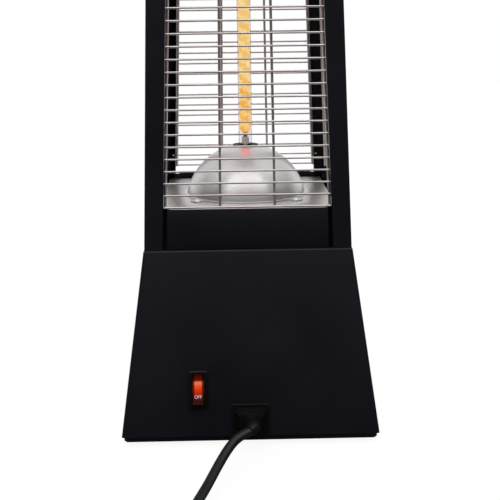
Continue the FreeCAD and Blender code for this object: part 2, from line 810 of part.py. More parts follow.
def coil_way(turn):
    """The winding's direction, taken evenly on both sides."""
    return (coil_point(turn + 0.005) - coil_point(turn - 0.005)).normalize()


coil_edges = []
quarters = int(round(coil_turns * 4))
for index in range(quarters):
    first = index / 4
    last = first + 0.25
    coil_edges += biarc(coil_point(first), coil_way(first), coil_point(last), coil_way(last))
coil_end = coil_point(coil_turns)
end_way = coil_way(coil_turns)
plug_start = coil_end + end_way * cord_diameter
coil_edges.append(Part.makeLine(coil_end, plug_start))
coil_path = Part.Wire(coil_edges)
save("cord_coil", swept(coil_path, cord_radius, "cord_coil"))

samples = coil_path.discretize(Number=780)
spacing = coil_path.Length / 779
skip = int(cord_diameter * 3 / spacing)
closest = min((samples[i] - samples[j]).Length for i in range(len(samples))
              for j in range(i + skip, len(samples)))
print("coil least gap to itself", round(closest - cord_diameter, 2))
free_length = sum((V(*b) - V(*a)).Length for a, b in zip(lead_route, lead_route[1:]))
print("cord length", round(coil_path.Length + free_length, 1))

# Tie: one flat strap round both layers
tie_spin = math.degrees(start_angle)
turn_at_tie = ((tie_angle - tie_spin) % 360) / 360
radii = [coil_inner_radius + turn_step * abs(turn_at_tie + n - reverse_turn) for n in range(int(coil_turns))]
tie_low_r = min(radii) - cord_radius - tie_gap
tie_high_r = max(radii) + cord_radius + tie_gap
tie_low_z = coil_start.z - cord_radius - fit_gap
tie_high_z = coil_start.z + turn_step + cord_radius + fit_gap
tie = box((tie_low_r - tie_thickness, -tie_width / 2, tie_low_z - tie_thickness),
          (tie_high_r + tie_thickness, tie_width / 2, tie_high_z + tie_thickness))
tie = tie.cut(box((tie_low_r, -tie_width, tie_low_z), (tie_high_r, tie_width, tie_high_z)))
tie = tie.rotated(V(0, 0, 0), UP, tie_angle).translated(V(coil_centre.x, coil_centre.y, 0))
save("cord_tie", tie)

# Plug: a moulded body with a boot, two flat blades and a round earth pin
plug_half_height = coil_end.z - fit_gap
plug_turn = math.degrees(math.atan2(end_way.y, end_way.x))


def along_plug(shape):
    """A shape drawn along +X from the lead's end, set where the lead ends."""
    return shape.rotated(V(0, 0, 0), UP, plug_turn).translated(plug_start)


def standing(wire):
    """A level outline stood up to face along +X."""
    return wire.rotated(V(0, 0, 0), V(0, 1, 0), 90)


face_height = 2 * plug_half_height
plug_rings = [clipped_outline(face_height * 0.62, plug_tip_width * 0.7, plug_corner, plug_boot_length),
              clipped_outline(face_height, plug_width, plug_corner, plug_boot_length + plug_length * 0.45),
              clipped_outline(face_height, plug_width, plug_corner, plug_boot_length + plug_length)]
plug = Part.makeLoft([standing(ring) for ring in plug_rings], True, True)
plug = plug.fuse(flat_cone((0, 0, 0), (1, 0, 0), boot_tip_radius, plug_boot_radius, plug_boot_length,
                           head_flats))
plug_face = plug_boot_length + plug_length
save("plug_body", along_plug(plug))
print("plug face", [round(value, 2) for value in plug_start + end_way * plug_face])
print("plug heading", [round(value, 5) for value in end_way])
prongs = []
for side in (-1, 1):
    prong_y = side * prong_spacing / 2
    prong = box((plug_face, prong_y - prong_thickness / 2, -2 - prong_width / 2),
                (plug_face + prong_length, prong_y + prong_thickness / 2, -2 + prong_width / 2))
    prongs.append(along_plug(prong))
earth_prong = flat_rod((plug_face, 0, earth_prong_offset), (1, 0, 0), earth_prong_radius, earth_prong_length,
                       head_flats)
prongs.append(along_plug(earth_prong))
save("plug_blades", Part.makeCompound(prongs))

# Corner posts: folded sheet with a return lip along both edges, a foot tab and a head tab
row_count = int((upper_deck_z - guard_top_gap - deck_z - first_row_above_deck) / wire_pitch) + 1
rows = [deck_z + first_row_above_deck + index * wire_pitch for index in range(row_count)]
stub_rows = [rows[2], rows[row_count // 2], rows[-3]]


def post(side_x, side_y, with_lead):
    """One corner post, drawn at its own corner and leaning in with the tower."""
    def at(z, a, b):
        return (side_x * (tower_half(z) - a), side_y * (tower_half(z) - b), z)

    f = post_face
    profile = [(0, 0), (f, 0), (f, post_lip), (f - sheet, post_lip), (f - sheet, sheet), (sheet, sheet),
               (sheet, f - sheet), (post_lip, f - sheet), (post_lip, f), (0, f)]
    lean = tower_taper * tower_height
    folded = prism([at(shell_top_z, a, b) for a, b in profile],
                   (-side_x * lean, -side_y * lean, tower_height))
    for z, step in ((shell_top_z, sheet), (tower_top_z - sheet, sheet)):
        tab_end = sheet + post_tab
        square = ((sheet, sheet), (tab_end, sheet), (tab_end, tab_end), (sheet, tab_end))
        tab = prism([at(z, a, b) for a, b in square],
                    (-side_x * tower_taper * step, -side_y * tower_taper * step, step))
        folded = folded.fuse(tab)
    hole_x = side_x * bolt_place
    hole_y = side_y * bolt_place
    folded = drilled(folded, [(hole_x, hole_y)], bolt_radius + hole_gap, shell_top_z - 1,
                     shell_top_z + sheet + 1)
    head_x = side_x * top_tab_place
    head_y = side_y * top_tab_place
    folded = drilled(folded, [(head_x, head_y)], screw_radius + hole_gap, tower_top_z - sheet - 1,
                     tower_top_z + 1)
    if with_lead:
        square = ((sheet, sheet), (lead_notch, sheet), (lead_notch, lead_notch), (sheet, lead_notch))
        notch = prism([at(shell_top_z, a, b) for a, b in square],
                      (-side_x * tower_taper * 2 * sheet, -side_y * tower_taper * 2 * sheet, 2 * sheet))
        folded = folded.cut(notch)
    for z in stub_rows:
        x_spot = at(z, f + 1, guard_depth)
        y_spot = at(z, guard_depth, f + 1)
        bore = row_wire_radius / math.cos(math.pi / wire_flats) + hole_gap
        folded = folded.cut(flat_rod(x_spot, (side_x, 0, 0), bore, sheet + 2, hole_flats))
        folded = folded.cut(flat_rod(y_spot, (0, side_y, 0), bore, sheet + 2, hole_flats))
    screw_z = tower_top_z - cap_skirt / 2
    skirt_spot = (side_x * (tower_half(screw_z) - 4 * sheet), side_y * (tower_half(screw_z) - post_face / 2),
                  screw_z)
    return folded.cut(flat_rod(skirt_spot, (side_x, 0, 0), screw_radius + hole_gap, 8 * sheet, hole_flats))


for label, side_x, side_y in (("front_left", -1, -1), ("front_right", 1, -1), ("back_left", -1, 1),
                              ("back_right", 1, 1)):
    save("corner_post_" + label, post(side_x, side_y, label == "back_right"))

bolts = []
nuts = []
for x, y in bolt_spots:
    bolts.append(screw((x, y, shell_top_z - sheet), UP, bolt_radius, bolt_head_radius, bolt_head,
                       2 * sheet + nut_height + 1.5))
    nut_corner = nut_flats / 2 / math.cos(math.pi / 6)
    ring = [(x + nut_corner * math.cos(math.radians(a)), y + nut_corner * math.sin(math.radians(a)),
             shell_top_z + sheet) for a in range(15, 375, 60)]
    nut = prism(ring, (0, 0, nut_height))
    nuts.append(nut.cut(flat_rod((x, y, shell_top_z), UP, bolt_radius, sheet + nut_height + 1, screw_flats)))
save("tower_bolts", Part.makeCompound(bolts))
save("tower_nuts", Part.makeCompound(nuts))

# Closing panels: sheets between the posts with a flange turned in at the base or at the top frame


def panel(low, high, flange_low):
    """One front panel, with a flange at one end and side edges that step in behind the posts."""
    wing_depth = post_lip + panel_wing_gap

    def edge(z, end, wide=0, deep=panel_recess):
        return (end * (tower_half(z) - post_face - panel_side_gap + wide), -(tower_half(z) - deep), z)

    face = prism([edge(low, -1), edge(low, 1), edge(high, 1), edge(high, -1)], (0, sheet, 0))
    for end in (-1, 1):
        step_in = prism([edge(low, end), edge(low, end, -sheet), edge(high, end, -sheet), edge(high, end)],
                        (0, wing_depth - panel_recess + sheet, 0))
        reach = panel_side_gap + panel_wing_lap
        wing = prism([edge(low, end, -sheet, wing_depth), edge(low, end, reach, wing_depth),
                      edge(high, end, reach, wing_depth), edge(high, end, -sheet, wing_depth)], (0, sheet, 0))
        face = face.fuse(step_in).fuse(wing)
    z = low if flange_low else high - sheet
    y = -(tower_half(z) - panel_recess)
    half = tower_half(z) - post_face - panel_side_gap
    return face.fuse(box((-half, y + sheet / 2, z), (half, y + panel_flange, z + sheet)))


SIDES = (("front", 0), ("right", 1), ("back", 2), ("left", 3))
for label, quarter in SIDES:
    rise = front_panel_rise if label == "front" else panel_rise
    lower = panel(shell_top_z, deck_z + rise, True)
    lower = drilled(turned(lower, quarter), panel_screw_spots, screw_radius + hole_gap, shell_top_z - 1,
                    shell_top_z + sheet + 1)
    save("lower_panel_" + label, lower)
    upper = panel(upper_deck_z - front_panel_rise, tower_top_z, False)
    upper = drilled(turned(upper, quarter), top_screw_spots, screw_radius + hole_gap, tower_top_z - sheet - 1,
                    tower_top_z + 1)
    save("upper_panel_" + label, upper)

# Wire guards: level wires welded in front of four uprights, hooked into the posts by three stubs a side


def guard(guard_rows):
    """The front guard, in its own leaning plane."""
    def depth(z):
        return -(tower_half(z) - guard_depth)

    def span(z):
        return tower_half(z) - post_face - fit_gap

    wires = []
    for z in guard_rows:
        half = span(z)
        if z in stub_rows:
            half += fit_gap + sheet + stub_length
        wires.append(wire_bar((-half, depth(z), z), (0, 1, 0), (0, 0, 1), row_wire_radius, (2 * half, 0, 0)))
    low = guard_rows[0] - row_wire_radius
    high = guard_rows[-1] + row_wire_radius
    back = row_wire_radius + upright_wire_radius + weld_gap
    back += tower_taper * row_wire_radius
    for share in (-1, -1 / 3, 1 / 3, 1):
        foot = share * (span(low) - upright_wire_radius)
        head = share * (span(high) - upright_wire_radius)
        wires.append(wire_bar((foot, depth(low) + back, low), (0, 1, 0), (1, 0, 0), upright_wire_radius,
                              (head - foot, depth(high) - depth(low), high - low)))
    return Part.makeCompound(wires)


for label, quarter in SIDES:
    guard_rows = rows if label == "front" else rows[1:]
    save("guard_" + label, turned(guard(guard_rows), quarter))

# Decks: bright sheets with turned edges that carry the lamp and its reflectors
tab_reach = dome_rim_radius + dome_tab_reach
rivet_place = (dome_rim_radius + dome_tab_reach / 2) / math.sqrt(2)
rivet_spots = [(x, y) for x in (-rivet_place, rivet_place) for y in (-rivet_place, rivet_place)]
holder_screw_place = (holder_radius + holder_flange_radius) / 2
holder_screw_spots = [(-holder_screw_place, 0), (holder_screw_place, 0)]
lead_hole_radius = lead_wire_radius + 1.0


def deck(half, z):
    """A lower deck: its face is at z and its edges turn down."""
    plate = box((-half, -half, z - deck_flange), (half, half, z))
    inner = half - bright_sheet
    plate = plate.cut(box((-inner, -inner, z - deck_flange - 1), (inner, inner, z - bright_sheet)))
    plate = drilled(plate, rivet_spots, rivet_radius + hole_gap, z - 2, z + 1)
    plate = drilled(plate, holder_screw_spots, small_screw_radius + hole_gap, z - 2, z + 1)
    return drilled(plate, [(0, 0)], lead_hole_radius, z - 2, z + 1)


save("reflector_deck", deck(deck_half, deck_z))
save("upper_deck", flipped(deck(upper_deck_half, deck_z)))


def bracket(web, low, high):
    """A folded bracket between two levels, its feet turned in, on the front side."""
    half = bracket_width / 2
    foot_end = -(web - sheet - bracket_foot)
    shape = box((-half, -web, low), (half, -web + sheet, high))
    shape = shape.fuse(box((-half, -web, low), (half, foot_end, low + sheet)))
    return shape.fuse(box((-half, -web, high - sheet), (half, foot_end, high)))


lower_brackets = []
upper_brackets = []
for label, quarter in SIDES:
    low_bracket = bracket(bracket_web, shell_top_z, deck_z - bright_sheet)
    lower_brackets.append(drilled(turned(low_bracket, quarter), bracket_spots, screw_radius + hole_gap,
                                  shell_top_z - 1, shell_top_z + sheet + 1))
    high_bracket = bracket(upper_bracket_web, upper_deck_z + bright_sheet, tower_top_z)
    upper_brackets.append(drilled(turned(high_bracket, quarter), upper_bracket_spots, screw_radius + hole_gap,
                                  tower_top_z - sheet - 1, tower_top_z + 1))
save("deck_brackets", Part.makeCompound(lower_brackets))
save("upper_brackets", Part.makeCompound(upper_brackets))

# Reflectors: spun domes with a flat crown, a turned rim and four riveted tabs
dome_centre_z = deck_z + dome_height - dome_sphere_radius
crown_z = dome_centre_z + math.sqrt(dome_sphere_radius ** 2 - dome_crown_radius ** 2)
crown_hole = tube_radius + 3 * fit_gap


def on_sphere(radius, z):
    """The radius of a sphere about the dome's centre, at a height."""
    return math.sqrt(radius ** 2 - (z - dome_centre_z) ** 2)


def dome_bands(radius, low, high, bands):
    """The dome's profile between two heights, in even bands as it is spun over its former."""
    first = math.asin((low - dome_centre_z) / radius)
    last = math.asin((high - dome_centre_z) / radius)
    angles = [first + (last - first) * index / bands for index in range(bands + 1)]
    return [(radius * math.cos(a), dome_centre_z + radius * math.sin(a)) for a in angles]


def banded_ring(profile):
    """A ring with flats all round, from the radius and height of each edge of its closed profile."""
    rings = [flat_ring(V(0, 0, z), V(1, 0, 0), V(0, 1, 0), radius, dome_flats) for radius, z in profile]
    faces = []
    for ring, next_ring in zip(rings, rings[1:] + rings[:1]):
        for index in range(dome_flats):
            ahead = (index + 1) % dome_flats
            flat = [ring[index], ring[ahead], next_ring[ahead], next_ring[index]]
            faces.append(Part.Face(closed_wire(flat)))
    return Part.Solid(Part.Shell(faces)).removeSplitter()


def reflector():
    """The lower dome, standing on the lower deck."""
    rim_z = deck_z + spun_sheet
    inner = dome_sphere_radius - spun_sheet
    under = crown_z - spun_sheet
    outside = dome_bands(dome_sphere_radius, rim_z, crown_z, dome_outer_bands)
    lining = dome_bands(inner, deck_z, under, dome_inner_bands)
    crown = [(crown_hole, crown_z), (crown_hole, under)]
    rim = [(dome_rim_radius, deck_z), (dome_rim_radius, rim_z)]
    dome = banded_ring(outside + crown + lining[::-1] + rim)
    if dome.Volume < 0:
        dome.reverse()
    for turn in (45, 135, 225, 315):
        tab = box((dome_rim_radius - 2, -dome_tab_width / 2, deck_z), (tab_reach, dome_tab_width / 2, rim_z))
        dome = dome.fuse(tab.rotated(V(0, 0, 0), UP, turn))
    return drilled(dome, rivet_spots, rivet_radius + hole_gap, deck_z - 1, rim_z + 1)


save("lower_reflector", reflector())
save("upper_reflector", flipped(reflector()))

rivets = []
for x, y in rivet_spots:
    seat = deck_z + spun_sheet
    rivet = screw((x, y, seat), (0, 0, -1), rivet_radius, rivet_head_radius, rivet_head,
                  spun_sheet + bright_sheet)
    rivet = rivet.fuse(flat_rod((x, y, deck_z - bright_sheet - rivet_head), UP, rivet_head_radius - 0.6,
                                rivet_head, head_flats))
    rivets += [rivet, flipped(rivet)]
save("reflector_rivets", Part.makeCompound(rivets))

# Lamp: a quartz tube with a woven carbon ribbon, ceramic caps in holders, and a washer at each crown
tube_low = deck_z + holder_floor + lamp_cap_length - tube_socket_depth
cap_low = deck_z + holder_floor


def lamp_holder():
    """A flanged cup for the lamp's cap, standing on the lower deck."""
    cup = flat_rod((0, 0, deck_z), UP, holder_radius, holder_height, turned_flats)
    cup = cup.fuse(flat_rod((0, 0, deck_z), UP, holder_flange_radius, holder_flange, turned_flats))
    cup = cup.cut(flat_rod((0, 0, cap_low), UP, lamp_cap_radius + fit_gap, holder_height, turned_flats))
    cup = cup.cut(flat_rod((0, 0, deck_z - 1), UP, lead_hole_radius, holder_floor + 2, hole_flats))
    return drilled(cup, holder_screw_spots, small_screw_radius + hole_gap, deck_z - 1,
                   deck_z + holder_flange + 1)


def lamp_cap():
    """The ceramic end of the lamp, with a socket for the tube and a bore for the wire."""
    shoulder_z = cap_low + lamp_cap_length - cap_chamfer
    cap = flat_rod((0, 0, cap_low), UP, lamp_cap_radius, lamp_cap_length - cap_chamfer, turned_flats)
    cap = cap.fuse(flat_cone((0, 0, shoulder_z), UP, lamp_cap_radius, lamp_cap_radius - cap_chamfer,
                             cap_chamfer, turned_flats))
    return cap.cut(flat_rod((0, 0, tube_low), UP, tube_radius + hole_gap, tube_socket_depth + 1,
                            turned_flats))


def grommet():
    """The dark washer on the dome's crown, with a spigot in the dome's hole."""
    washer = flat_rod((0, 0, crown_z), UP, grommet_radius, grommet_thickness, turned_flats)
    washer = washer.fuse(flat_rod((0, 0, crown_z - 2 * spun_sheet), UP, crown_hole - 2 * hole_gap,
                                  2 * spun_sheet, turned_flats))
    return washer.cut(flat_rod((0, 0, crown_z - 3 * spun_sheet), UP, tube_radius + fit_gap,
                               4 * spun_sheet + grommet_thickness, turned_flats))


save("lower_lamp_holder", lamp_holder())
save("upper_lamp_holder", flipped(lamp_holder()))
save("lower_lamp_cap", lamp_cap())
save("upper_lamp_cap", flipped(lamp_cap()))
save("lower_grommet", grommet())
save("upper_grommet", flipped(grommet()))
for x, y in holder_screw_spots:
    holder_screw = small_screw((x, y, deck_z + holder_flange), (0, 0, -1), holder_flange + bright_sheet + 1.2)
    small_screws += [holder_screw, flipped(holder_screw)]
save("small_screws", Part.makeCompound(small_screws))

tube_length = 2 * (lamp_mid_z - tube_low)
tube = rod((0, 0, tube_low), UP, tube_radius, tube_length)
save("quartz_tube", tube.cut(rod((0, 0, tube_low - 1), UP, tube_radius - tube_wall, tube_length + 2)))

ribbon_low = deck_z + ribbon_start_above_deck
clip_low = deck_z + clip_bottom_above_deck
clip_high = clip_low + clip_height
ribbon_half = [(neck_width / 2, clip_high), (neck_width / 2, clip_high + (ribbon_low - clip_high) / 2),
               (ribbon_width / 2, ribbon_low + neck_width)]
right_edge = ribbon_half + [(x, 2 * lamp_mid_z - z) for x, z in reversed(ribbon_half)]
left_edge = [(-x, z) for x, z in reversed(right_edge)]
ribbon = prism([(x, -ribbon_thickness / 2, z) for x, z in right_edge + left_edge], (0, ribbon_thickness, 0))
save("carbon_filament", ribbon)

clip = box((-clip_width / 2, -clip_depth / 2, clip_low), (clip_width / 2, clip_depth / 2, clip_high))
clip = clip.fuse(flat_rod((0, 0, tube_low), UP, clip_stem_radius, clip_low - tube_low + 1, hole_flats))
save("filament_clips", Part.makeCompound([clip, flipped(clip)]))

# Top: a frame on the posts, and a low hollow cap with a skirt round their heads
frame_half = tower_half(tower_top_z)
frame = box((-frame_half, -frame_half, tower_top_z), (frame_half, frame_half, tower_top_z + sheet))
frame = frame.cut(box((-frame_opening_half, -frame_opening_half, tower_top_z - 1),
                      (frame_opening_half, frame_opening_half, tower_top_z + sheet + 1)))
frame_holes = top_screw_spots + top_tab_spots + upper_bracket_spots
frame = drilled(frame, frame_holes, screw_radius + hole_gap, tower_top_z - 1, tower_top_z + sheet + 1)
save("top_frame", frame)

skirt_low = tower_top_z - cap_skirt
skirt_in = tower_half(skirt_low) + fit_gap
skirt_out = skirt_in + sheet
eave_z = tower_top_z + sheet + cap_headroom


def square_loft(wide, low, narrow, high):
    """A square block that narrows to its top."""
    block = Part.makeWedge(-wide, low, -wide, -narrow, -narrow, wide, high, wide, narrow, narrow)
    return block.rotated(V(0, 0, 0), V(1, 0, 0), 90)


cap = rounded_block(2 * skirt_out, 2 * skirt_out, base_corner_radius, skirt_low, eave_z)
cap = cap.fuse(square_loft(skirt_out - cap_rim, eave_z, cap_peak_half, eave_z + cap_rise))
cap = cap.cut(box((-skirt_in, -skirt_in, skirt_low - 1), (skirt_in, skirt_in, eave_z - sheet)))
cap = cap.cut(square_loft(skirt_out - cap_rim, eave_z - sheet, cap_peak_half, eave_z + cap_rise - sheet))
screw_z = tower_top_z - cap_skirt / 2
cap_screws = []
for side_x in (-1, 1):
    for side_y in (-1, 1):
        spot_y = side_y * (tower_half(screw_z) - post_face / 2)
        cap = cap.cut(flat_rod((side_x * (skirt_in - 1), spot_y, screw_z), (side_x, 0, 0),
                               screw_radius + hole_gap, 4, hole_flats))
        cap_screws.append(sheet_screw((side_x * skirt_out, spot_y, screw_z), (-side_x, 0, 0), 3 * sheet + 2))
save("top_cap", cap)

# Sheet screws: bottom plate, panels, brackets, top frame and cap
screws = [sheet_screw((x, y, plate_under_z), UP, 2 * sheet + 6) for x, y in plate_screw_spots]
screws += [sheet_screw((x, y, shell_top_z - sheet), UP, 2 * sheet + 4) for x, y in flange_spots]
screws += [sheet_screw((x, y, tower_top_z + sheet), (0, 0, -1), 2 * sheet + 4) for x, y in frame_holes]
save("sheet_screws", Part.makeCompound(screws + cap_screws))

# Inner wiring: insulated wires between the inlet, the switches, the terminal block and the lamp
wire_end = 0.2
inlet_tail = -inlet_body_depth - pin_tail - wire_end
switch_tail = -switch_body_depth - blade_length - wire_end


def plain(vector):
    """A point as plain numbers."""
    return (vector.x, vector.y, vector.z)


live_tail = plain(front_point(0, inlet_z, -pin_spacing, -1.0, inlet_tail))
live_bend = plain(front_point(0, inlet_z, -pin_spacing, -1.0, inlet_tail - 14))
neutral_tail = plain(front_point(0, inlet_z, pin_spacing, -1.0, inlet_tail))
neutral_bend = plain(front_point(0, inlet_z, pin_spacing, -1.0, inlet_tail - 16))
rocker_in = plain(front_point(switch_x, switch_z, 0, -switch_blade_spacing, switch_tail))
rocker_in_bend = plain(front_point(switch_x, switch_z, 0, -switch_blade_spacing, switch_tail - 14))
rocker_out = plain(front_point(switch_x, switch_z, 0, 0, switch_tail))
rocker_out_bend = plain(front_point(switch_x, switch_z, 0, 0, switch_tail - 18))
micro_in = micro_blades[0]
micro_out = micro_blades[1]
well_z = block_top - block_height / 2 + lead_wire_radius + fit_gap
well_front = block_y - block_width / 2 + block_rib - wire_end
well_back = block_y + block_width / 2 - block_rib + wire_end
wire_routes = [
    [live_tail, live_bend, (-16, live_bend[1] + 10, live_bend[2] + 4),
     (-29, rocker_in_bend[1] + 10, rocker_in_bend[2] - 4), rocker_in_bend, rocker_in],
    [rocker_out, rocker_out_bend, (switch_x - 8, rocker_out_bend[1] + 30, micro_in[2] + 6),
     (micro_in[0] - 6, micro_in[1] - 22, micro_in[2] + 22), (micro_in[0], micro_in[1], micro_in[2] + 16),
     (micro_in[0], micro_in[1], micro_in[2] + wire_end)],
    [(micro_out[0], micro_out[1], micro_out[2] + wire_end), (micro_out[0], micro_out[1], micro_out[2] + 14),
     (micro_out[0] + 14, micro_out[1] - 6, micro_out[2] + 18),
     (block_wells[0] - 18, well_front - 26, well_z + 26),
     (block_wells[0], well_front - 20, well_z + 5), (block_wells[0], well_front, well_z)],
    [neutral_tail, neutral_bend, (16, neutral_bend[1] + 22, neutral_bend[2] + 6),
     (block_wells[3] - 4, well_front - 36, well_z + 8), (block_wells[3], well_front - 16, well_z),
     (block_wells[3] + 0.4, well_front, well_z)],
    [(block_wells[1], well_back, well_z), (block_wells[1] + 0.4, well_back + 14, well_z),
     (block_wells[1] - 6, well_back + 18, well_z + 20), (12, 30, shell_top_z - 60),
     (0.4, 2, shell_top_z - 12), (0, 0, shell_top_z + 12), (0, 0.2, cap_low - wire_end)],
]
wires = [swept(rounded_path(route, "wire"), lead_wire_radius, "wire") for route in wire_routes]
save("base_wiring", Part.makeCompound(wires))


def in_post(z):
    """The upper lead's place inside the back right post."""
    place = tower_half(z) - lead_corner_inset
    return (place, place, z)


upper_cap_end = 2 * lamp_mid_z - cap_low + wire_end
bend_z = upper_deck_z + 24
post_place = in_post(upper_deck_z + 10)[0]
upper_route = [
    (0, 0, upper_cap_end), (0, 0.2, upper_deck_z + 10), (8, 8, bend_z),
    (post_place * 0.62, post_place * 0.62, bend_z + 3), (post_place - 2, post_place - 2, bend_z - 2),
    in_post(upper_deck_z + 4), in_post(shell_top_z - 12),
    (block_wells[2] + 14, well_back + 24, shell_top_z * 0.55),
    (block_wells[2] + 4, well_back + 22, well_z + 22), (block_wells[2], well_back + 14, well_z + 1),
    (block_wells[2], well_back, well_z),
]
upper_path = rounded_path(upper_route, "upper_lamp_lead")
save("upper_lamp_lead", swept(upper_path, lead_wire_radius, "upper_lamp_lead"))

print("face normal", [round(value, 5) for value in front_out()])
print("coil centre", [round(value, 2) for value in coil_centre])
print("coil start angle", round(math.degrees(start_angle), 2))
print("heights: deck", deck_z, "upper deck", upper_deck_z, "tower top", tower_top_z)
print("peak", eave_z + cap_rise)
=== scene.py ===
import bpy
import bmesh
import json
import math
from mathutils import Matrix, Vector

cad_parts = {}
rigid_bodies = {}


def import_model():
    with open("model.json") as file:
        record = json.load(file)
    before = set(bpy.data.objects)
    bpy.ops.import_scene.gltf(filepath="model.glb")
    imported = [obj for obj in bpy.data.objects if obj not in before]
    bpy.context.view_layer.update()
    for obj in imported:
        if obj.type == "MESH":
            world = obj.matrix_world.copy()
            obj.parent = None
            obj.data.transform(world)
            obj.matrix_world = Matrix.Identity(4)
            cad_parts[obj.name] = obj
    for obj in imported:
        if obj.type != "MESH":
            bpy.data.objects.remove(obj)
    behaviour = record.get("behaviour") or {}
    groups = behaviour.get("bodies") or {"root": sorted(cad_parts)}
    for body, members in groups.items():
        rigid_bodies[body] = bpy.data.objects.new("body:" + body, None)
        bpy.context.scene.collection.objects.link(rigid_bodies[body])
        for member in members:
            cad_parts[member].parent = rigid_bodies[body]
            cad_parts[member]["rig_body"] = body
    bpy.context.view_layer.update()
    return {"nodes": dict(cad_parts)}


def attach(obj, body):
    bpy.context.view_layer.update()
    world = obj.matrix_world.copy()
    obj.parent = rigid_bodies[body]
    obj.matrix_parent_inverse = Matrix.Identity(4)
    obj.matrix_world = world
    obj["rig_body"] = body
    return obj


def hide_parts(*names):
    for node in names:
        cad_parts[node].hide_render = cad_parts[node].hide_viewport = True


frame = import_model()

# Base housing and bottom plate
# A sloped box folded from mild-steel sheet, closed below by a screwed plate, powder coated black.
# The baked coat has a fine orange-peel skin that breaks up highlights, and is duller in patches.
mm = 0.001
base_top_z, base_height = 159.1, 150.4
base_top_half, base_bottom_half = 83.2, 105.0
fold_drop, fold_band, longest_hole_edge = 0.1, 5.2, 25.0


def linear(code):
    """An sRGB hex colour as linear numbers."""
    channels = [int(code[start:start + 2], 16) / 255 for start in (1, 3, 5)]
    return [c / 12.92 if c <= 0.04045 else ((c + 0.055) / 1.055) ** 2.4 for c in channels] + [1.0]


def add(tree, kind, inputs=None, into=None, stops=(), **settings):
    """A node with its settings, colour stops and inputs, its first output linked into a socket."""
    node = tree.nodes.new(kind)
    for name, value in settings.items():
        setattr(node, name, value)
    for place, _ in stops[1:-1]:
        node.color_ramp.elements.new(place)
    for index, (place, code) in enumerate(stops):
        node.color_ramp.elements[index].position = place
        node.color_ramp.elements[index].color = linear(code)
    for name, value in (inputs or {}).items():
        if isinstance(value, bpy.types.NodeSocket):
            tree.links.new(value, node.inputs[name])
        else:
            node.inputs[name].default_value = value
    if into:
        tree.links.new(node.outputs[0], into)
    return node


def start_material(name, **constants):
    """A material with its tree, its shader and its object coordinates in metres."""
    material = bpy.data.materials.new(name)
    material.use_nodes = True
    tree = material.node_tree
    shader = tree.nodes["Principled BSDF"]
    for socket, value in constants.items():
        shader.inputs[socket.replace("_", " ")].default_value = value
    return material, tree, shader, add(tree, "ShaderNodeTexCoord").outputs["Object"]


def place_piece(name, shape, material, body, nodes, sharp=40):
    """A finished mesh that rides on a body and stands for CAD nodes."""
    for face in shape.faces:
        face.smooth = True
    mesh = bpy.data.meshes.new(name)
    shape.to_mesh(mesh)
    shape.free()
    mesh.set_sharp_from_angle(angle=math.radians(sharp))
    mesh.materials.append(material)
    piece = bpy.data.objects.new(name, mesh)
    bpy.context.scene.collection.objects.link(piece)
    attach(piece, body)
    if nodes:
        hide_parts(*nodes)
    return piece


def dress(name, node, material, sharp=40, edge=0.0, segments=2, folds=None):
    """A copy of a CAD node, smoothed, with all its edges or only its folds rounded."""
    same_point, same_plane = 0.004 * mm, math.radians(0.4)
    shape = bmesh.new()
    shape.from_mesh(frame["nodes"][node].data)
    bmesh.ops.remove_doubles(shape, verts=shape.verts, dist=same_point)
    bmesh.ops.dissolve_limit(shape, angle_limit=same_plane, verts=shape.verts, edges=shape.edges)
    if folds:
        picked = [item for item in shape.edges if item.is_manifold
                  and item.calc_face_angle() > math.radians(sharp) and folds(item)]
        bmesh.ops.bevel(shape, geom=picked, offset=edge, offset_type="OFFSET", affect="EDGES",
                        segments=segments, profile=0.5, material=-1)
    piece = place_piece(name, shape, material, frame["nodes"][node]["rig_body"], [node], sharp)
    if edge and not folds:
        rounding = piece.modifiers.new("rounded edges", "BEVEL")
        rounding.width = edge
        rounding.segments = segments
        rounding.limit_method = "ANGLE"
        rounding.angle_limit = math.radians(sharp)
    return piece


powder_coat, tree, shader, spot = start_material("powder_coated_steel", Specular_IOR_Level=0.3)
cloud = add(tree, "ShaderNodeTexNoise", {
    "Vector": spot, "Scale": 1 / (55 * mm), "Detail": 3.0}).outputs["Fac"]
add(tree, "ShaderNodeValToRGB", {"Fac": cloud}, shader.inputs["Base Color"],
    ((0.3, "#0f0f18"), (0.7, "#15151e")))
add(tree, "ShaderNodeMapRange", {"Value": cloud, "To Min": 0.40, "To Max": 0.54},
    shader.inputs["Roughness"])
# Orange peel is about 1 mm from crest to crest on a coat like this.
peel = add(tree, "ShaderNodeTexNoise", {
    "Vector": spot, "Scale": 1 / (1.1 * mm), "Detail": 1.5}).outputs["Fac"]
add(tree, "ShaderNodeBump", {"Height": peel, "Strength": 0.22, "Distance": 0.12 * mm},
    shader.inputs["Normal"])


def top_fold(edge):
    """Whether an edge lies along the fold at the top of the base."""
    level, reach = (base_top_z - fold_drop) * mm, (base_top_half - fold_band) * mm
    return all(vert.co.z > level and max(abs(vert.co.x), abs(vert.co.y)) > reach
               for vert in edge.verts)


def long_edge(edge):
    """Whether an edge runs along a sheet rather than round a hole."""
    return edge.calc_length() > longest_hole_edge * mm


dress("base_housing", "base_shell", powder_coat, sharp=35, edge=1.3 * mm,
      segments=3, folds=top_fold)
dress("base_plate", "bottom_plate", powder_coat, sharp=35, edge=0.4 * mm,
      folds=long_edge)

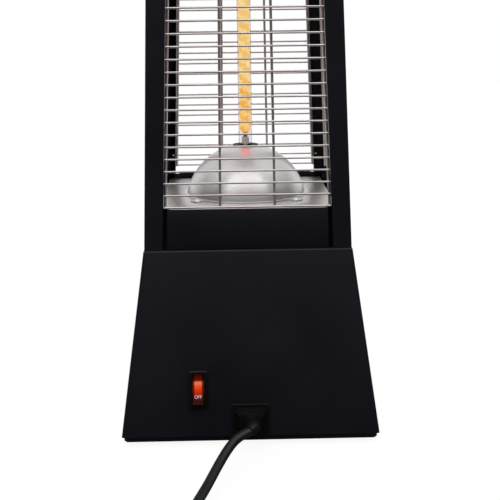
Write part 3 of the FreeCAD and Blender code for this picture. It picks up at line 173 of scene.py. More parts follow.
# Rubber feet and screws
# Four moulded rubber feet, each held by a sunk screw. Zinc-plated pan-head screws join the sheets.
# Rubber is dull with a dusty bloom, and zinc is a soft grey with a faint spangle.
foot_rubber, tree, shader, spot = start_material("moulded_rubber", Roughness=0.75,
                                                 Specular_IOR_Level=0.3)
bloom = add(tree, "ShaderNodeTexNoise", {
    "Vector": spot, "Scale": 1 / (4 * mm), "Detail": 4.0}).outputs["Fac"]
add(tree, "ShaderNodeValToRGB", {"Fac": bloom}, shader.inputs["Base Color"],
    ((0.35, "#151515"), (0.75, "#232322")))
add(tree, "ShaderNodeBump", {"Height": bloom, "Strength": 0.3, "Distance": 0.1 * mm},
    shader.inputs["Normal"])
dress("rubber_foot_set", "rubber_feet", foot_rubber, edge=0.6 * mm)

zinc_plate, tree, shader, spot = start_material("zinc_plated_steel", Metallic=1.0)
spangle = add(tree, "ShaderNodeTexNoise", {
    "Vector": spot, "Scale": 1 / (1.4 * mm), "Detail": 3.0}).outputs["Fac"]
add(tree, "ShaderNodeValToRGB", {"Fac": spangle}, shader.inputs["Base Color"],
    ((0.3, "#8d8f92"), (0.7, "#b4b6b8")))
add(tree, "ShaderNodeMapRange", {"Value": spangle, "To Min": 0.28, "To Max": 0.46},
    shader.inputs["Roughness"])
for name in ("sheet_screws", "small_screws", "foot_screws", "tower_bolts", "tower_nuts"):
    dress("fitted_" + name, name, zinc_plate, sharp=50)

# Tilt switch and terminal block
# A white acetal plunger slides in a black nylon guide and holds a snap switch down while the heater
# stands. An ivory urea block joins the wires. Moulded plastics are faintly mottled and satin.
plastics = {}
for name, roughness, patch, detail, dark, pale in (
        ("black_nylon", 0.5, 3 * mm, 3.0, "#1c1c1d", "#29292a"),
        ("white_acetal", 0.38, 4 * mm, 2.0, "#dcdad2", "#e8e6e0"),
        ("ivory_urea", 0.45, 5 * mm, 3.0, "#d9d2bd", "#e6e0cf")):
    plastics[name], tree, shader, spot = start_material(name, Roughness=roughness)
    mottle = add(tree, "ShaderNodeTexNoise", {
        "Vector": spot, "Scale": 1 / patch, "Detail": detail}).outputs["Fac"]
    add(tree, "ShaderNodeValToRGB", {"Fac": mottle}, shader.inputs["Base Color"],
        ((0.3, dark), (0.7, pale)))
for name, node, plastic, slot in (
        ("plunger_guide", "tilt_guide", "black_nylon", "tilt_moulding"),
        ("snap_switch", "tilt_switch", "black_nylon", "tilt_moulding"),
        ("plunger", "tilt_plunger", "white_acetal", "plunger_white"),
        ("wire_block", "terminal_block", "ivory_urea", "block_ivory")):
    dress(name, node, plastics[plastic], edge=0.3 * mm)

# Rocker switch housing and mains inlet
# Nylon mouldings that snap into the sloped front, glossy enough for a thin light along their rims.
# The blades and pins behind and inside are nickel-plated brass, a warm grey clouded by tarnish.
moulding, tree, shader, spot = start_material("glossy_nylon", Roughness=0.34,
                                              Specular_IOR_Level=0.25)
flow = add(tree, "ShaderNodeTexNoise", {
    "Vector": spot, "Scale": 1 / (2.4 * mm), "Detail": 2.0}).outputs["Fac"]
add(tree, "ShaderNodeValToRGB", {"Fac": flow}, shader.inputs["Base Color"],
    ((0.3, "#0a0a0b"), (0.7, "#121213")))
add(tree, "ShaderNodeBump", {"Height": flow, "Strength": 0.1, "Distance": 0.05 * mm},
    shader.inputs["Normal"])
dress("switch_bezel", "switch_housing", moulding, sharp=30)
dress("inlet_socket", "inlet_body", moulding, sharp=30, edge=0.35 * mm)

nickel_brass, tree, shader, spot = start_material("nickel_plated_brass", Metallic=1.0)
tarnish = add(tree, "ShaderNodeTexNoise", {
    "Vector": spot, "Scale": 1 / (3.3 * mm), "Detail": 4.0}).outputs["Fac"]
add(tree, "ShaderNodeValToRGB", {"Fac": tarnish}, shader.inputs["Base Color"],
    ((0.3, "#b7a888"), (0.7, "#d2c8ae")))
add(tree, "ShaderNodeMapRange", {"Value": tarnish, "To Min": 0.22, "To Max": 0.4},
    shader.inputs["Roughness"])
dress("switch_tags", "switch_terminals", nickel_brass, edge=0.2 * mm)
dress("inlet_prongs", "inlet_pins", nickel_brass, edge=0.2 * mm)

# Rocker
# Red translucent polycarbonate with a small lamp behind it: its middle glows orange, its ends stay
# dark. The top is dished, its upper half is pressed in, and ON and OFF are printed on it.
switch_x, switch_z = -42.0, 47.2
half_length, half_width = 12.2, 4.5
crown, dip, depth, keel_share = 3.1, 1.3, 7.0, 0.5
dish_radius = (half_length ** 2 + (crown - dip) ** 2) / (2 * (crown - dip))
rim_round, rim_band = 0.45, 0.6
pivot_radius, pivot_length, pivot_lift = 1.15, 11.2, 0.5
pressed = math.radians(-12)
face_lean = math.atan((base_bottom_half - base_top_half) / base_height)


def face_frame(x, z):
    """The front face's own axes at a place: across, up the slope, outwards."""
    y = -(base_top_half + math.tan(face_lean) * (base_top_z - z))
    slope = Matrix.Rotation(math.pi / 2 - face_lean, 4, "X")
    return Matrix.Translation(Vector((x, y, z)) * mm) @ slope


def dish(along):
    """How high the dished top lies above the pivot, in millimetres."""
    along = min(abs(along), half_length)
    return dip + dish_radius - math.sqrt(dish_radius ** 2 - along ** 2)


def rod(shape, radius, length, sides, place):
    """A round rod along its own Z axis, set in its place."""
    bmesh.ops.create_cone(shape, cap_ends=True, segments=sides, radius1=radius, radius2=radius,
                          depth=length, matrix=place)


shape = bmesh.new()
bmesh.ops.create_cube(shape, size=1.0)
for vert in shape.verts:
    level = crown if vert.co.z > 0 else -depth / 4
    vert.co = Vector((2 * half_width * vert.co.x, 2 * half_length * vert.co.y, level)) * mm
shape.normal_update()
underside = [face for face in shape.faces if face.normal.z < -0.9]
keel = bmesh.ops.extrude_face_region(shape, geom=underside)["geom"]
for vert in [item for item in keel if isinstance(item, bmesh.types.BMVert)]:
    vert.co.y *= keel_share
    vert.co.z = -depth * mm
bmesh.ops.delete(shape, geom=underside, context="FACES_ONLY")
lengthways = [edge for edge in shape.edges
              if abs(edge.verts[0].co.y - edge.verts[1].co.y) > 1.5 * half_length * mm]
bmesh.ops.subdivide_edges(shape, edges=lengthways, cuts=23, use_grid_fill=True)
rims = [edge for edge in shape.edges
        if edge.is_manifold and edge.calc_face_angle() > math.radians(40)
        and max(vert.co.z for vert in edge.verts) > (crown - 0.1) * mm]
bmesh.ops.bevel(shape, geom=rims, offset=rim_round * mm, offset_type="OFFSET", affect="EDGES",
                segments=3, profile=0.5, material=-1)
for vert in shape.verts:
    if vert.co.z > (crown - rim_band) * mm:
        vert.co.z += (dish(vert.co.y / mm) - crown) * mm
rod(shape, pivot_radius * mm, pivot_length * mm, 16, Matrix.Rotation(math.pi / 2, 4, "Y"))
bmesh.ops.recalc_face_normals(shape, faces=shape.faces)
rocker_pose = (face_frame(switch_x, switch_z) @ Matrix.Translation((0, 0, pivot_lift * mm))
               @ Matrix.Rotation(pressed, 4, "X"))
bmesh.ops.transform(shape, matrix=rocker_pose, verts=shape.verts)

red_glass, tree, shader, spot = start_material("red_polycarbonate", Roughness=0.22,
                                               Specular_IOR_Level=0.08, Emission_Strength=0.9)
place = add(tree, "ShaderNodeSeparateXYZ", {"Vector": spot}).outputs
rise = add(tree, "ShaderNodeMapRange", {
    "Value": place["Z"], "From Min": (switch_z - half_length) * mm,
    "From Max": (switch_z + half_length) * mm}).outputs["Result"]
glow = add(tree, "ShaderNodeValToRGB", {"Fac": rise}, None,
           ((0.0, "#100002"), (0.2, "#220204"), (0.32, "#620805"), (0.4, "#b42006"),
            (0.54, "#d8380c"), (0.66, "#ec5828"), (0.75, "#f47c52"), (0.83, "#640a04"),
            (1.0, "#3c0403"))).outputs["Color"]
aside = add(tree, "ShaderNodeMath", {0: place["X"], 1: switch_x * mm},
            operation="SUBTRACT").outputs["Value"]
aside = add(tree, "ShaderNodeMath", {0: aside}, operation="ABSOLUTE").outputs["Value"]
# The lamp is narrower than the key, so the key's long edges stay dim.
lit_half, dim_half = half_width - 2.1, half_width - 0.8
across = add(tree, "ShaderNodeMapRange", {
    "Value": aside, "From Min": lit_half * mm, "From Max": dim_half * mm, "To Min": 1.0,
    "To Max": 0.1}, interpolation_type="SMOOTHSTEP").outputs["Result"]
add(tree, "ShaderNodeVectorMath", {"Vector": glow, "Scale": across},
    shader.inputs["Emission Color"], operation="SCALE")
# The base colour is lighter in the middle and darker at the ends too: painted light from the lamp
# behind.
add(tree, "ShaderNodeValToRGB", {"Fac": rise}, shader.inputs["Base Color"],
    ((0.0, "#120002"), (0.5, "#4c0a06"), (1.0, "#280303")))
place_piece("rocker_key", shape, red_glass, "rocker", ["switch_rocker"], sharp=50)

white_ink, tree, shader, spot = start_material("white_print", Roughness=0.5, Emission_Strength=0.7)
# Painted light: the print glows a little from the lamp behind, and the lamp's light through the
# upper word tints its colour.
plain_z, tinted_z = switch_z - 2, switch_z + 4
height = add(tree, "ShaderNodeSeparateXYZ", {"Vector": spot}).outputs["Z"]
upper_word = add(tree, "ShaderNodeMapRange", {
    "Value": height, "From Min": plain_z * mm, "From Max": tinted_z * mm}).outputs["Result"]
add(tree, "ShaderNodeValToRGB", {"Fac": upper_word}, shader.inputs["Base Color"],
    ((0.0, "#ecd4d0"), (1.0, "#a85a3c")))
add(tree, "ShaderNodeValToRGB", {"Fac": upper_word}, shader.inputs["Emission Color"],
    ((0.0, "#6c4640"), (1.0, "#e07a50")))
letter_height, ink = 2.7, 0.06
for word, middle, width in (("ON", 5.6, 5.0), ("OFF", -5.4, 6.2)):
    letters = bpy.data.curves.new("letters_" + word, "FONT")
    letters.body = word
    holder = bpy.data.objects.new("letters_" + word, letters)
    bpy.context.scene.collection.objects.link(holder)
    flat = bpy.data.meshes.new_from_object(holder)
    bpy.data.objects.remove(holder)
    shape = bmesh.new()
    shape.from_mesh(flat)
    bpy.data.meshes.remove(flat)
    bmesh.ops.triangulate(shape, faces=shape.faces)
    low, high = [Vector([extreme(vert.co[axis] for vert in shape.verts) for axis in range(3)])
                 for extreme in (min, max)]
    bmesh.ops.translate(shape, vec=-(low + high) / 2, verts=shape.verts)
    bmesh.ops.scale(shape, verts=shape.verts, vec=(width * mm / (high.x - low.x),
                                                   letter_height * mm / (high.y - low.y), 1))
    for vert in shape.verts:
        vert.co.y += middle * mm
        vert.co.z = (dish(vert.co.y / mm) + ink) * mm
    bmesh.ops.transform(shape, matrix=rocker_pose, verts=shape.verts)
    place_piece("printed_" + word.lower(), shape, white_ink, "rocker", [])

# Tower posts and closing panels
# Folded angle posts with turned lips lean in towards the top. Panels with stepped edges close the
# gaps between them below the lower deck and above the upper one. The same powder coat as the base.
for corner in ("front_left", "front_right", "back_left", "back_right"):
    dress("post_" + corner, "corner_post_" + corner, powder_coat, sharp=35,
          edge=0.45 * mm, folds=long_edge)
for level in ("lower", "upper"):
    for side in ("front", "back", "left", "right"):
        dress(level + "_closing_panel_" + side, level + "_panel_" + side, powder_coat,
              sharp=35, edge=0.4 * mm, folds=long_edge)

# Decks and brackets
# Bright stainless sheet with turned edges, brushed from side to side before folding. The deck
# mirrors the posts and the dome softly, drawn out across the brush lines.
brushed, tree, shader, spot = start_material("brushed_stainless", Metallic=1.0)
# Brush lines are about 0.1 mm apart; they are drawn at 0.9 mm so that they show.
line_gap, line_length = 0.9 * mm, 40 * mm
along_lines = add(tree, "ShaderNodeMapping", {
    "Vector": spot, "Scale": (1 / line_length, 1 / line_gap, 1 / line_gap)}).outputs["Vector"]
strokes = add(tree, "ShaderNodeTexNoise", {
    "Vector": along_lines, "Scale": 1.0, "Detail": 3.0}).outputs["Fac"]
add(tree, "ShaderNodeValToRGB", {"Fac": strokes}, shader.inputs["Base Color"],
    ((0.3, "#dcd7d6"), (0.7, "#eae6e4")))
add(tree, "ShaderNodeMapRange", {"Value": strokes, "To Min": 0.32, "To Max": 0.38},
    shader.inputs["Roughness"])
add(tree, "ShaderNodeBump", {"Height": strokes, "Strength": 0.03, "Distance": 0.05 * mm},
    shader.inputs["Normal"])
for name, node in (("lamp_deck", "reflector_deck"), ("roof_deck", "upper_deck"),
                   ("deck_supports", "deck_brackets"), ("roof_supports", "upper_brackets")):
    dress(name, node, brushed, sharp=35, edge=0.35 * mm, folds=long_edge)

# Reflectors
# Aluminium discs spun over a former, so fine rings run round them. Each has a flat crown, a turned
# rim and four tabs that are riveted to the deck. The upper one is the same piece turned over.
deck_z, lamp_middle = 190.3, 388.15
dome_radius, dome_centre = 52.5, 179.8
crown_radius, crown_hole, rim_radius, spun_sheet = 12.0, 6.9, 54.0, 0.8
tab_length, tab_width, tab_corner, tab_place = 11.0, 10.0, 3.0, 57.5
spun, tree, shader, spot = start_material("spun_aluminium", Metallic=1.0)
level_part = add(tree, "ShaderNodeVectorMath", {0: spot, 1: (1.0, 1.0, 0.0)},
                 operation="MULTIPLY").outputs["Vector"]
radius = add(tree, "ShaderNodeVectorMath", {0: level_part}, operation="LENGTH").outputs["Value"]
height = add(tree, "ShaderNodeSeparateXYZ", {"Vector": spot}).outputs["Z"]
path = add(tree, "ShaderNodeMath", {0: radius, 1: height}, operation="SUBTRACT").outputs["Value"]
# Tool marks are tenths of a millimetre apart; they are drawn at about 1.5 mm so that they show.
rings = add(tree, "ShaderNodeTexNoise", {"W": path, "Scale": 1 / (1.5 * mm), "Detail": 3.0},
            noise_dimensions="1D").outputs["Fac"]
add(tree, "ShaderNodeValToRGB", {"Fac": rings}, shader.inputs["Base Color"],
    ((0.25, "#e4e2e2"), (0.75, "#eeecec")))
add(tree, "ShaderNodeMapRange", {"Value": rings, "To Min": 0.34, "To Max": 0.42},
    shader.inputs["Roughness"])
add(tree, "ShaderNodeBump", {"Height": rings, "Strength": 0.05, "Distance": 0.05 * mm},
    shader.inputs["Normal"])
crown_z = dome_centre + math.sqrt(dome_radius ** 2 - crown_radius ** 2)
rim_z = deck_z + spun_sheet
sweep = math.acos((rim_z - dome_centre) / dome_radius) - math.asin(crown_radius / dome_radius)
for name, upper in (("lower_reflector", False), ("upper_reflector", True)):
    shape = bmesh.new()
    start = shape.verts.new(Vector((crown_radius, 0, crown_z)) * mm)
    arc = bmesh.ops.spin(shape, geom=[start], cent=Vector((0, 0, dome_centre)) * mm,
                         axis=(0, 1, 0), angle=sweep, steps=28)
    last = [item for item in arc["geom_last"] if isinstance(item, bmesh.types.BMVert)][0]
    for vert, target in ((last, (rim_radius, 0, rim_z)), (start, (crown_hole, 0, crown_z))):
        bmesh.ops.extrude_vert_indiv(shape, verts=[vert])["verts"][0].co = Vector(target) * mm
    bmesh.ops.spin(shape, geom=list(shape.verts) + list(shape.edges), cent=(0, 0, 0),
                   axis=(0, 0, 1), angle=2 * math.pi, steps=96, use_merge=True)
    bmesh.ops.remove_doubles(shape, verts=shape.verts, dist=0.001 * mm)
    bmesh.ops.recalc_face_normals(shape, faces=shape.faces)
    if sum(face.normal.z * face.calc_area() for face in shape.faces) < 0:
        bmesh.ops.reverse_faces(shape, faces=shape.faces)
    bmesh.ops.solidify(shape, geom=list(shape.faces), thickness=spun_sheet * mm)
    for quarter in range(4):
        tab = bmesh.ops.create_cube(shape, size=1.0)["verts"]
        bmesh.ops.scale(shape, vec=Vector((tab_length, tab_width, spun_sheet)) * mm, verts=tab)
        ends = [edge for edge in {edge for vert in tab for edge in vert.link_edges}
                if abs(edge.verts[0].co.z - edge.verts[1].co.z) > spun_sheet / 2 * mm
                and edge.verts[0].co.x > 0]
        rounded = bmesh.ops.bevel(shape, geom=ends, offset=tab_corner * mm, offset_type="OFFSET",
                                  affect="EDGES", segments=5, profile=0.5, material=-1)
        tab = list({vert for vert in tab if vert.is_valid} | set(rounded["verts"]))
        bmesh.ops.translate(shape, vec=Vector((tab_place, 0, rim_z - spun_sheet / 2)) * mm,
                            verts=tab)
        bmesh.ops.rotate(shape, cent=(0, 0, 0), verts=tab,
                         matrix=Matrix.Rotation(math.radians(45 + 90 * quarter), 3, "Z"))
    if upper:
        bmesh.ops.scale(shape, vec=(1, 1, -1), verts=shape.verts)
        bmesh.ops.translate(shape, vec=(0, 0, 2 * lamp_middle * mm), verts=shape.verts)
        bmesh.ops.reverse_faces(shape, faces=shape.faces)
    place_piece("spun_" + name, shape, spun, "heater", [name], sharp=35)
dress("dome_rivets", "reflector_rivets", spun, sharp=50, edge=0.3 * mm)

# Lamp
# A clear fused-quartz tube with a woven carbon ribbon that glows gold between crimped nickel clips.
# Cream ceramic caps sit in holders under the domes, and a dull enamelled washer closes each crown.
ceramic, tree, shader, spot = start_material("steatite_ceramic", Roughness=0.6)
speck = add(tree, "ShaderNodeTexNoise", {
    "Vector": spot, "Scale": 1 / (2 * mm), "Detail": 3.0}).outputs["Fac"]
add(tree, "ShaderNodeValToRGB", {"Fac": speck}, shader.inputs["Base Color"],
    ((0.3, "#d8d4c8"), (0.7, "#e9e6dc")))
for name in ("lower_lamp_holder", "upper_lamp_holder", "lower_lamp_cap", "upper_lamp_cap"):
    dress("fired_" + name, name, ceramic, edge=0.3 * mm)

enamel, tree, shader, spot = start_material("black_enamelled_steel", Roughness=0.45,
                                            Specular_IOR_Level=0.1)
ripple = add(tree, "ShaderNodeTexNoise", {
    "Vector": spot, "Scale": 1 / (3 * mm), "Detail": 3.0}).outputs["Fac"]
add(tree, "ShaderNodeValToRGB", {"Fac": ripple}, shader.inputs["Base Color"],
    ((0.3, "#0c0c0c"), (0.7, "#181817")))
for name in ("lower_grommet", "upper_grommet"):
    dress("crown_" + name, name, enamel, edge=0.25 * mm)

quartz, tree, shader, spot = start_material("fused_quartz", Roughness=0.0, IOR=1.46,
                                            Transmission_Weight=1.0)
drawing = add(tree, "ShaderNodeTexNoise", {
    "Vector": spot, "Scale": 1 / (16 * mm), "Detail": 1.0}).outputs["Fac"]
clear = add(tree, "ShaderNodeValToRGB", {"Fac": drawing}, None,
            ((0.3, "#f6f4f6"), (0.7, "#ffffff"))).outputs["Color"]
# Painted light: where the wall is seen edge-on its colour turns tan, for the warm light from the
# ribbon that runs along the wall.
edge_on = add(tree, "ShaderNodeLayerWeight", {"Blend": 0.5}).outputs["Facing"]
along_wall = add(tree, "ShaderNodeMapRange", {
    "Value": edge_on, "From Min": 0.45, "From Max": 0.95}).outputs["Result"]
add(tree, "ShaderNodeMixRGB", {"Fac": along_wall, "Color1": clear, "Color2": linear("#c8a890")},
    shader.inputs["Base Color"])
tube_low, tube_radius, tube_wall = 216.0, 6.0, 0.9
tube_high = 2 * lamp_middle - tube_low
shape = bmesh.new()
corners = [shape.verts.new(Vector((x, 0, z)) * mm) for x, z in
           ((tube_radius, tube_low), (tube_radius, tube_high),
            (tube_radius - tube_wall, tube_high), (tube_radius - tube_wall, tube_low))]
for first, second in zip(corners, corners[1:] + corners[:1]):
    shape.edges.new((first, second))
bmesh.ops.spin(shape, geom=list(shape.verts) + list(shape.edges), cent=(0, 0, 0), axis=(0, 0, 1),
               angle=2 * math.pi, steps=64, use_merge=True)
bmesh.ops.remove_doubles(shape, verts=shape.verts, dist=0.001 * mm)
bmesh.ops.recalc_face_normals(shape, faces=shape.faces)
place_piece("quartz_envelope", shape, quartz, "heater", ["quartz_tube"], sharp=60)

carbon, tree, shader, spot = start_material("glowing_carbon_ribbon", Roughness=0.8,
                                            Emission_Strength=1.0, Base_Color=linear("#2a1c0c"))
# Strands cross about every 11 mm, and each crossing runs a little cooler and more orange.
strand_pitch, strand_width, strand_slant, fray_push = 11.0, 4.0, 0.28, 1.7
slant = Vector((strand_slant / strand_width, 0, 1 / strand_pitch)) / mm
phase = add(tree, "ShaderNodeVectorMath", {0: spot, 1: slant},
            operation="DOT_PRODUCT").outputs["Value"]
frays = add(tree, "ShaderNodeTexNoise", {
    "Vector": spot, "Scale": 1 / (3.2 * mm), "Detail": 3.0, "Roughness": 0.62}).outputs["Fac"]
phase = add(tree, "ShaderNodeMath", {0: frays, 1: fray_push, 2: phase},
            operation="MULTIPLY_ADD").outputs["Value"]
phase = add(tree, "ShaderNodeMath", {0: phase}, operation="FRACT").outputs["Value"]
heat = add(tree, "ShaderNodeValToRGB", {"Fac": phase}, None,
           ((0.0, "#f8be5e"), (0.2, "#ffda84"), (0.45, "#ffeaa8"), (0.62, "#ffd77a"),
            (0.8, "#f2aa4e"), (1.0, "#f8be5e"))).outputs["Color"]
height = add(tree, "ShaderNodeSeparateXYZ", {"Vector": spot}).outputs["Z"]
from_middle = add(tree, "ShaderNodeMath", {0: height, 1: lamp_middle * mm},
                  operation="SUBTRACT").outputs["Value"]
from_middle = add(tree, "ShaderNodeMath", {0: from_middle}, operation="ABSOLUTE").outputs["Value"]
# The clips draw heat off: the middle glows evenly, the ends turn blotched and orange, and the necks
# stay dark. Each change runs between two heights in the lamp's lower half.
zones = {}
for name, upper_z, lower_z, above, below in (("even", 345.0, 265.0, 0.6, 0.0),
                                             ("orange", 300.0, 243.0, 0.0, 0.4),
                                             ("bright", 243.0, 240.4, 1.0, 0.03)):
    zones[name] = add(tree, "ShaderNodeMapRange", {
        "Value": from_middle, "From Min": (lamp_middle - upper_z) * mm,
        "From Max": (lamp_middle - lower_z) * mm, "To Min": above,
        "To Max": below}).outputs["Result"]
# Mirrored in metal, the ribbon shows its deep red, which glare hides from the eye.
mirror_gain = 0.6
mirrors = add(tree, "ShaderNodeLightPath").outputs["Glossy Depth"]
mirrored = add(tree, "ShaderNodeMath", {0: mirrors, 1: 1.0}, operation="MINIMUM").outputs["Value"]
for share, code in ((zones["even"], "#ffde90"), (zones["orange"], "#f2a84a"),
                    (mirrored, "#ff6848")):
    heat = add(tree, "ShaderNodeMixRGB", {
        "Fac": share, "Color1": heat, "Color2": linear(code)}).outputs["Color"]
gain = add(tree, "ShaderNodeMath", {0: mirrored, 1: mirror_gain, 2: 1.0},
           operation="MULTIPLY_ADD").outputs["Value"]
strength = add(tree, "ShaderNodeMath", {0: zones["bright"], 1: gain},
               operation="MULTIPLY").outputs["Value"]
add(tree, "ShaderNodeVectorMath", {"Vector": heat, "Scale": strength},
    shader.inputs["Emission Color"], operation="SCALE")
ribbon_width, ribbon_thickness, neck_half = 9.9, 0.8, 1.7
ribbon_low, neck_top, full_from = 238.4, 240.2, 245.2
# Each wave of the weave has a height in millimetres, radians across, and waves for each crossing.
weave_waves, pinch = ((0.17, 7.5, 1), (0.13, 4.0, -2)), 0.03


def ease(share):
    """A share held between 0 and 1, with a gentle start and end."""
    share = min(max(share, 0), 1)
    return share * share * (3 - 2 * share)


shape = bmesh.new()
bmesh.ops.create_grid(shape, x_segments=12, y_segments=220, size=0.5)
for vert in shape.verts:
    side = vert.co.x * 2
    z = ribbon_low + (vert.co.y + 0.5) * 2 * (lamp_middle - ribbon_low)
    from_end = min(z, 2 * lamp_middle - z)
    grow = ease((from_end - neck_top) / (full_from - neck_top))
    half = neck_half + (ribbon_width / 2 - neck_half) * grow
    turn = 2 * math.pi * z / strand_pitch
    strand = sum(rise * math.sin(side * across + count * turn)
                 for rise, across, count in weave_waves)
    vert.co = Vector((side * half * (1 - pinch * math.sin(turn)), strand * grow, z)) * mm
bmesh.ops.recalc_face_normals(shape, faces=shape.faces)
bmesh.ops.solidify(shape, geom=list(shape.faces), thickness=ribbon_thickness * mm)
front, back = [extreme(vert.co.y for vert in shape.verts) for extreme in (min, max)]
bmesh.ops.translate(shape, vec=(0, -(front + back) / 2, 0), verts=shape.verts)
place_piece("woven_filament", shape, carbon, "heater", ["carbon_filament"],
            sharp=80)

# Heat has turned the sheet matt and pale; a painted glow stands for the ribbon's light from above.
nickel, tree, shader, spot = start_material("heat_dulled_nickel_painted_glow", Metallic=0.2,
                                            Emission_Strength=0.32,
                                            Emission_Color=linear("#c8bebc"))
tint = add(tree, "ShaderNodeTexNoise", {
    "Vector": spot, "Scale": 1 / (2.5 * mm), "Detail": 3.0}).outputs["Fac"]
add(tree, "ShaderNodeValToRGB", {"Fac": tint}, shader.inputs["Base Color"],
    ((0.3, "#d2cac8"), (0.7, "#e6dedc")))
add(tree, "ShaderNodeMapRange", {"Value": tint, "To Min": 0.5, "To Max": 0.65},
    shader.inputs["Roughness"])
dress("ribbon_clips", "filament_clips", nickel, sharp=42, edge=0.5 * mm)

# Inner wiring
# Silicone-covered wires join the inlet, switches, block and lamp, and one runs up inside the back
# right post. The sleeve is off-white and matt, with a faint braid.
sleeve, tree, shader, spot = start_material("silicone_sleeve", Roughness=0.62)
braid = add(tree, "ShaderNodeTexVoronoi", {
    "Vector": spot, "Scale": 1 / (0.8 * mm)}).outputs["Distance"]
add(tree, "ShaderNodeValToRGB", {"Fac": braid}, shader.inputs["Base Color"],
    ((0.1, "#cfccc4"), (0.7, "#b3afa5")))
for name in ("base_wiring", "upper_lamp_lead"):
    dress("sleeved_" + name, name, sleeve, sharp=70)

# Wire guards
# Round plated steel wire, level wires welded across four uprights in a leaning frame on each side.
# Some level wires run on through holes in the posts. The plating is bright, with a thin dull haze.
plated_wire, tree, shader, spot = start_material("nickel_plated_wire", Metallic=1.0)
haze = add(tree, "ShaderNodeTexNoise", {
    "Vector": spot, "Scale": 1 / (11 * mm), "Detail": 4.0}).outputs["Fac"]
add(tree, "ShaderNodeValToRGB", {"Fac": haze}, shader.inputs["Base Color"],
    ((0.3, "#d8d1cf"), (0.7, "#e8e2df")))
add(tree, "ShaderNodeMapRange", {"Value": haze, "To Min": 0.26, "To Max": 0.4},
    shader.inputs["Roughness"])
row_radius, upright_radius, row_pitch, row_count = 0.78, 1.15, 9.5, 42
guard_depth, post_clear, stub, first_gap = 2.7, 14.9, 3.5, 2.5
tower_foot_half, tower_taper = 82.5, 0.043
# Each upright is welded a little into the back of the level wires.
weld_sink = 0.06
upright_back = row_radius + upright_radius - weld_sink
rows = [deck_z + first_gap + index * row_pitch for index in range(row_count)]
through_rows = (rows[2], rows[21], rows[39])


def tower_half(z):
    """Half the tower's width at a height."""
    return tower_foot_half - tower_taper * (z - base_top_z)


for side, quarter, first_row in (("front", 0, 0), ("right", 1, 1), ("back", 2, 1), ("left", 3, 1)):
    shape = bmesh.new()
    for z in rows[first_row:]:
        half = tower_half(z) - post_clear + (stub if z in through_rows else 0)
        middle = Vector((0, guard_depth - tower_half(z), z)) * mm
        rod(shape, row_radius * mm, 2 * half * mm, 12,
            Matrix.Translation(middle) @ Matrix.Rotation(math.pi / 2, 4, "Y"))
    for share in (-1, -1 / 3, 1 / 3, 1):
        foot, head = [Vector((share * (tower_half(z) - post_clear - upright_radius),
                              guard_depth - tower_half(z) + upright_back, z)) * mm
                      for z in (rows[first_row] - row_radius, rows[-1] + row_radius)]
        lean = (head - foot).to_track_quat("Z", "X").to_matrix().to_4x4()
        rod(shape, upright_radius * mm, (head - foot).length, 14,
            Matrix.Translation((foot + head) / 2) @ lean)
    bmesh.ops.rotate(shape, cent=(0, 0, 0), verts=shape.verts,
                     matrix=Matrix.Rotation(math.pi / 2 * quarter, 3, "Z"))
    place_piece("wire_guard_" + side, shape, plated_wire, "heater", ["guard_" + side],
                sharp=50)

# Top frame and cap
# A flat frame ties the posts together, and a low pyramid cap with a turned-down skirt is screwed
# over it. The same sheet and powder coat as the rest.
dress("head_frame", "top_frame", powder_coat, sharp=35, edge=0.4 * mm,
      folds=long_edge)
dress("roof_cap", "top_cap", powder_coat, sharp=12, edge=0.4 * mm,
      folds=long_edge)

# Mains lead
# A moulded connector fills the inlet, and its boot bends round to the lead, a satin PVC sheath.
# What isn't in use is wound in two layers, held by a woven strap, and ends in a moulded plug.
pvc, tree, shader, spot = start_material("black_pvc", Specular_IOR_Level=0.4)
rub = add(tree, "ShaderNodeTexNoise", {
    "Vector": spot, "Scale": 1 / (6.5 * mm), "Detail": 4.0}).outputs["Fac"]
add(tree, "ShaderNodeValToRGB", {"Fac": rub}, shader.inputs["Base Color"],
    ((0.3, "#0f0f10"), (0.7, "#1a1a1b")))
add(tree, "ShaderNodeMapRange", {"Value": rub, "To Min": 0.34, "To Max": 0.5},
    shader.inputs["Roughness"])
# The connector takes the darker glossy nylon rather than the lead's PVC: painted shade for the dim
# inlet.
connector_piece = dress("lead_connector", "connector", moulding, sharp=42,
                        edge=0.7 * mm, segments=3)
# The soft boot gives: it comes straight out of the grip, and only its tip hooks round to the lead.
inlet_z, grip_end, boot_end = 23.3, 14.0, 35.4
boot_give = Vector((7.5, 2.0, 3.5)) * mm
into_face = face_frame(0, inlet_z).inverted()
for vert in connector_piece.data.vertices:
    outwards = (into_face @ vert.co).z / mm
    vert.co += boot_give * ease((outwards - grip_end) / (boot_end - grip_end))
plug_piece = dress("lead_plug", "plug_body", pvc, sharp=42, edge=1.2 * mm, segments=3)
prong_piece = dress("plug_prongs", "plug_blades", nickel_brass, edge=0.3 * mm)

strap, tree, shader, spot = start_material("woven_nylon_strap", Roughness=0.8)
# A wave of this scale repeats every thread.
thread = 1.2 * mm
weave = add(tree, "ShaderNodeTexWave", {
    "Vector": spot, "Scale": 2 * math.pi / 20 / thread, "Distortion": 1.5}).outputs["Fac"]
add(tree, "ShaderNodeValToRGB", {"Fac": weave}, shader.inputs["Base Color"],
    ((0.2, "#141414"), (0.8, "#2c2c2c")))
add(tree, "ShaderNodeBump", {"Height": weave, "Strength": 0.5, "Distance": 0.2 * mm},
    shader.inputs["Normal"])
tie_piece = dress("lead_tie", "cord_tie", strap, sharp=50, edge=0.4 * mm)

cord_radius = 3.7
route = [(0.0, -135.6, 28.2), (-8.0, -140.5, 27.0), (-14.5, -146.5, 24.0), (-20.5, -156.0, 19.6),
         (-26.8, -170.0, 14.9), (-32.7, -186.0, 11.0), (-38.7, -204.0, 9.4), (-46.6, -224.4, 6.2),
         (-56.6, -244.6, 4.6), (-65.0, -262.0, 5.2)]
coil_middle = Vector((-17.27, -285.04, 5.2))
first_angle = math.radians(154.23)
turn_step, turns, outer_radius, climb_turns = 7.95, 6.5, 53.0, 0.5
inner_radius = outer_radius - turn_step * turns / 2
points_per_turn = 16
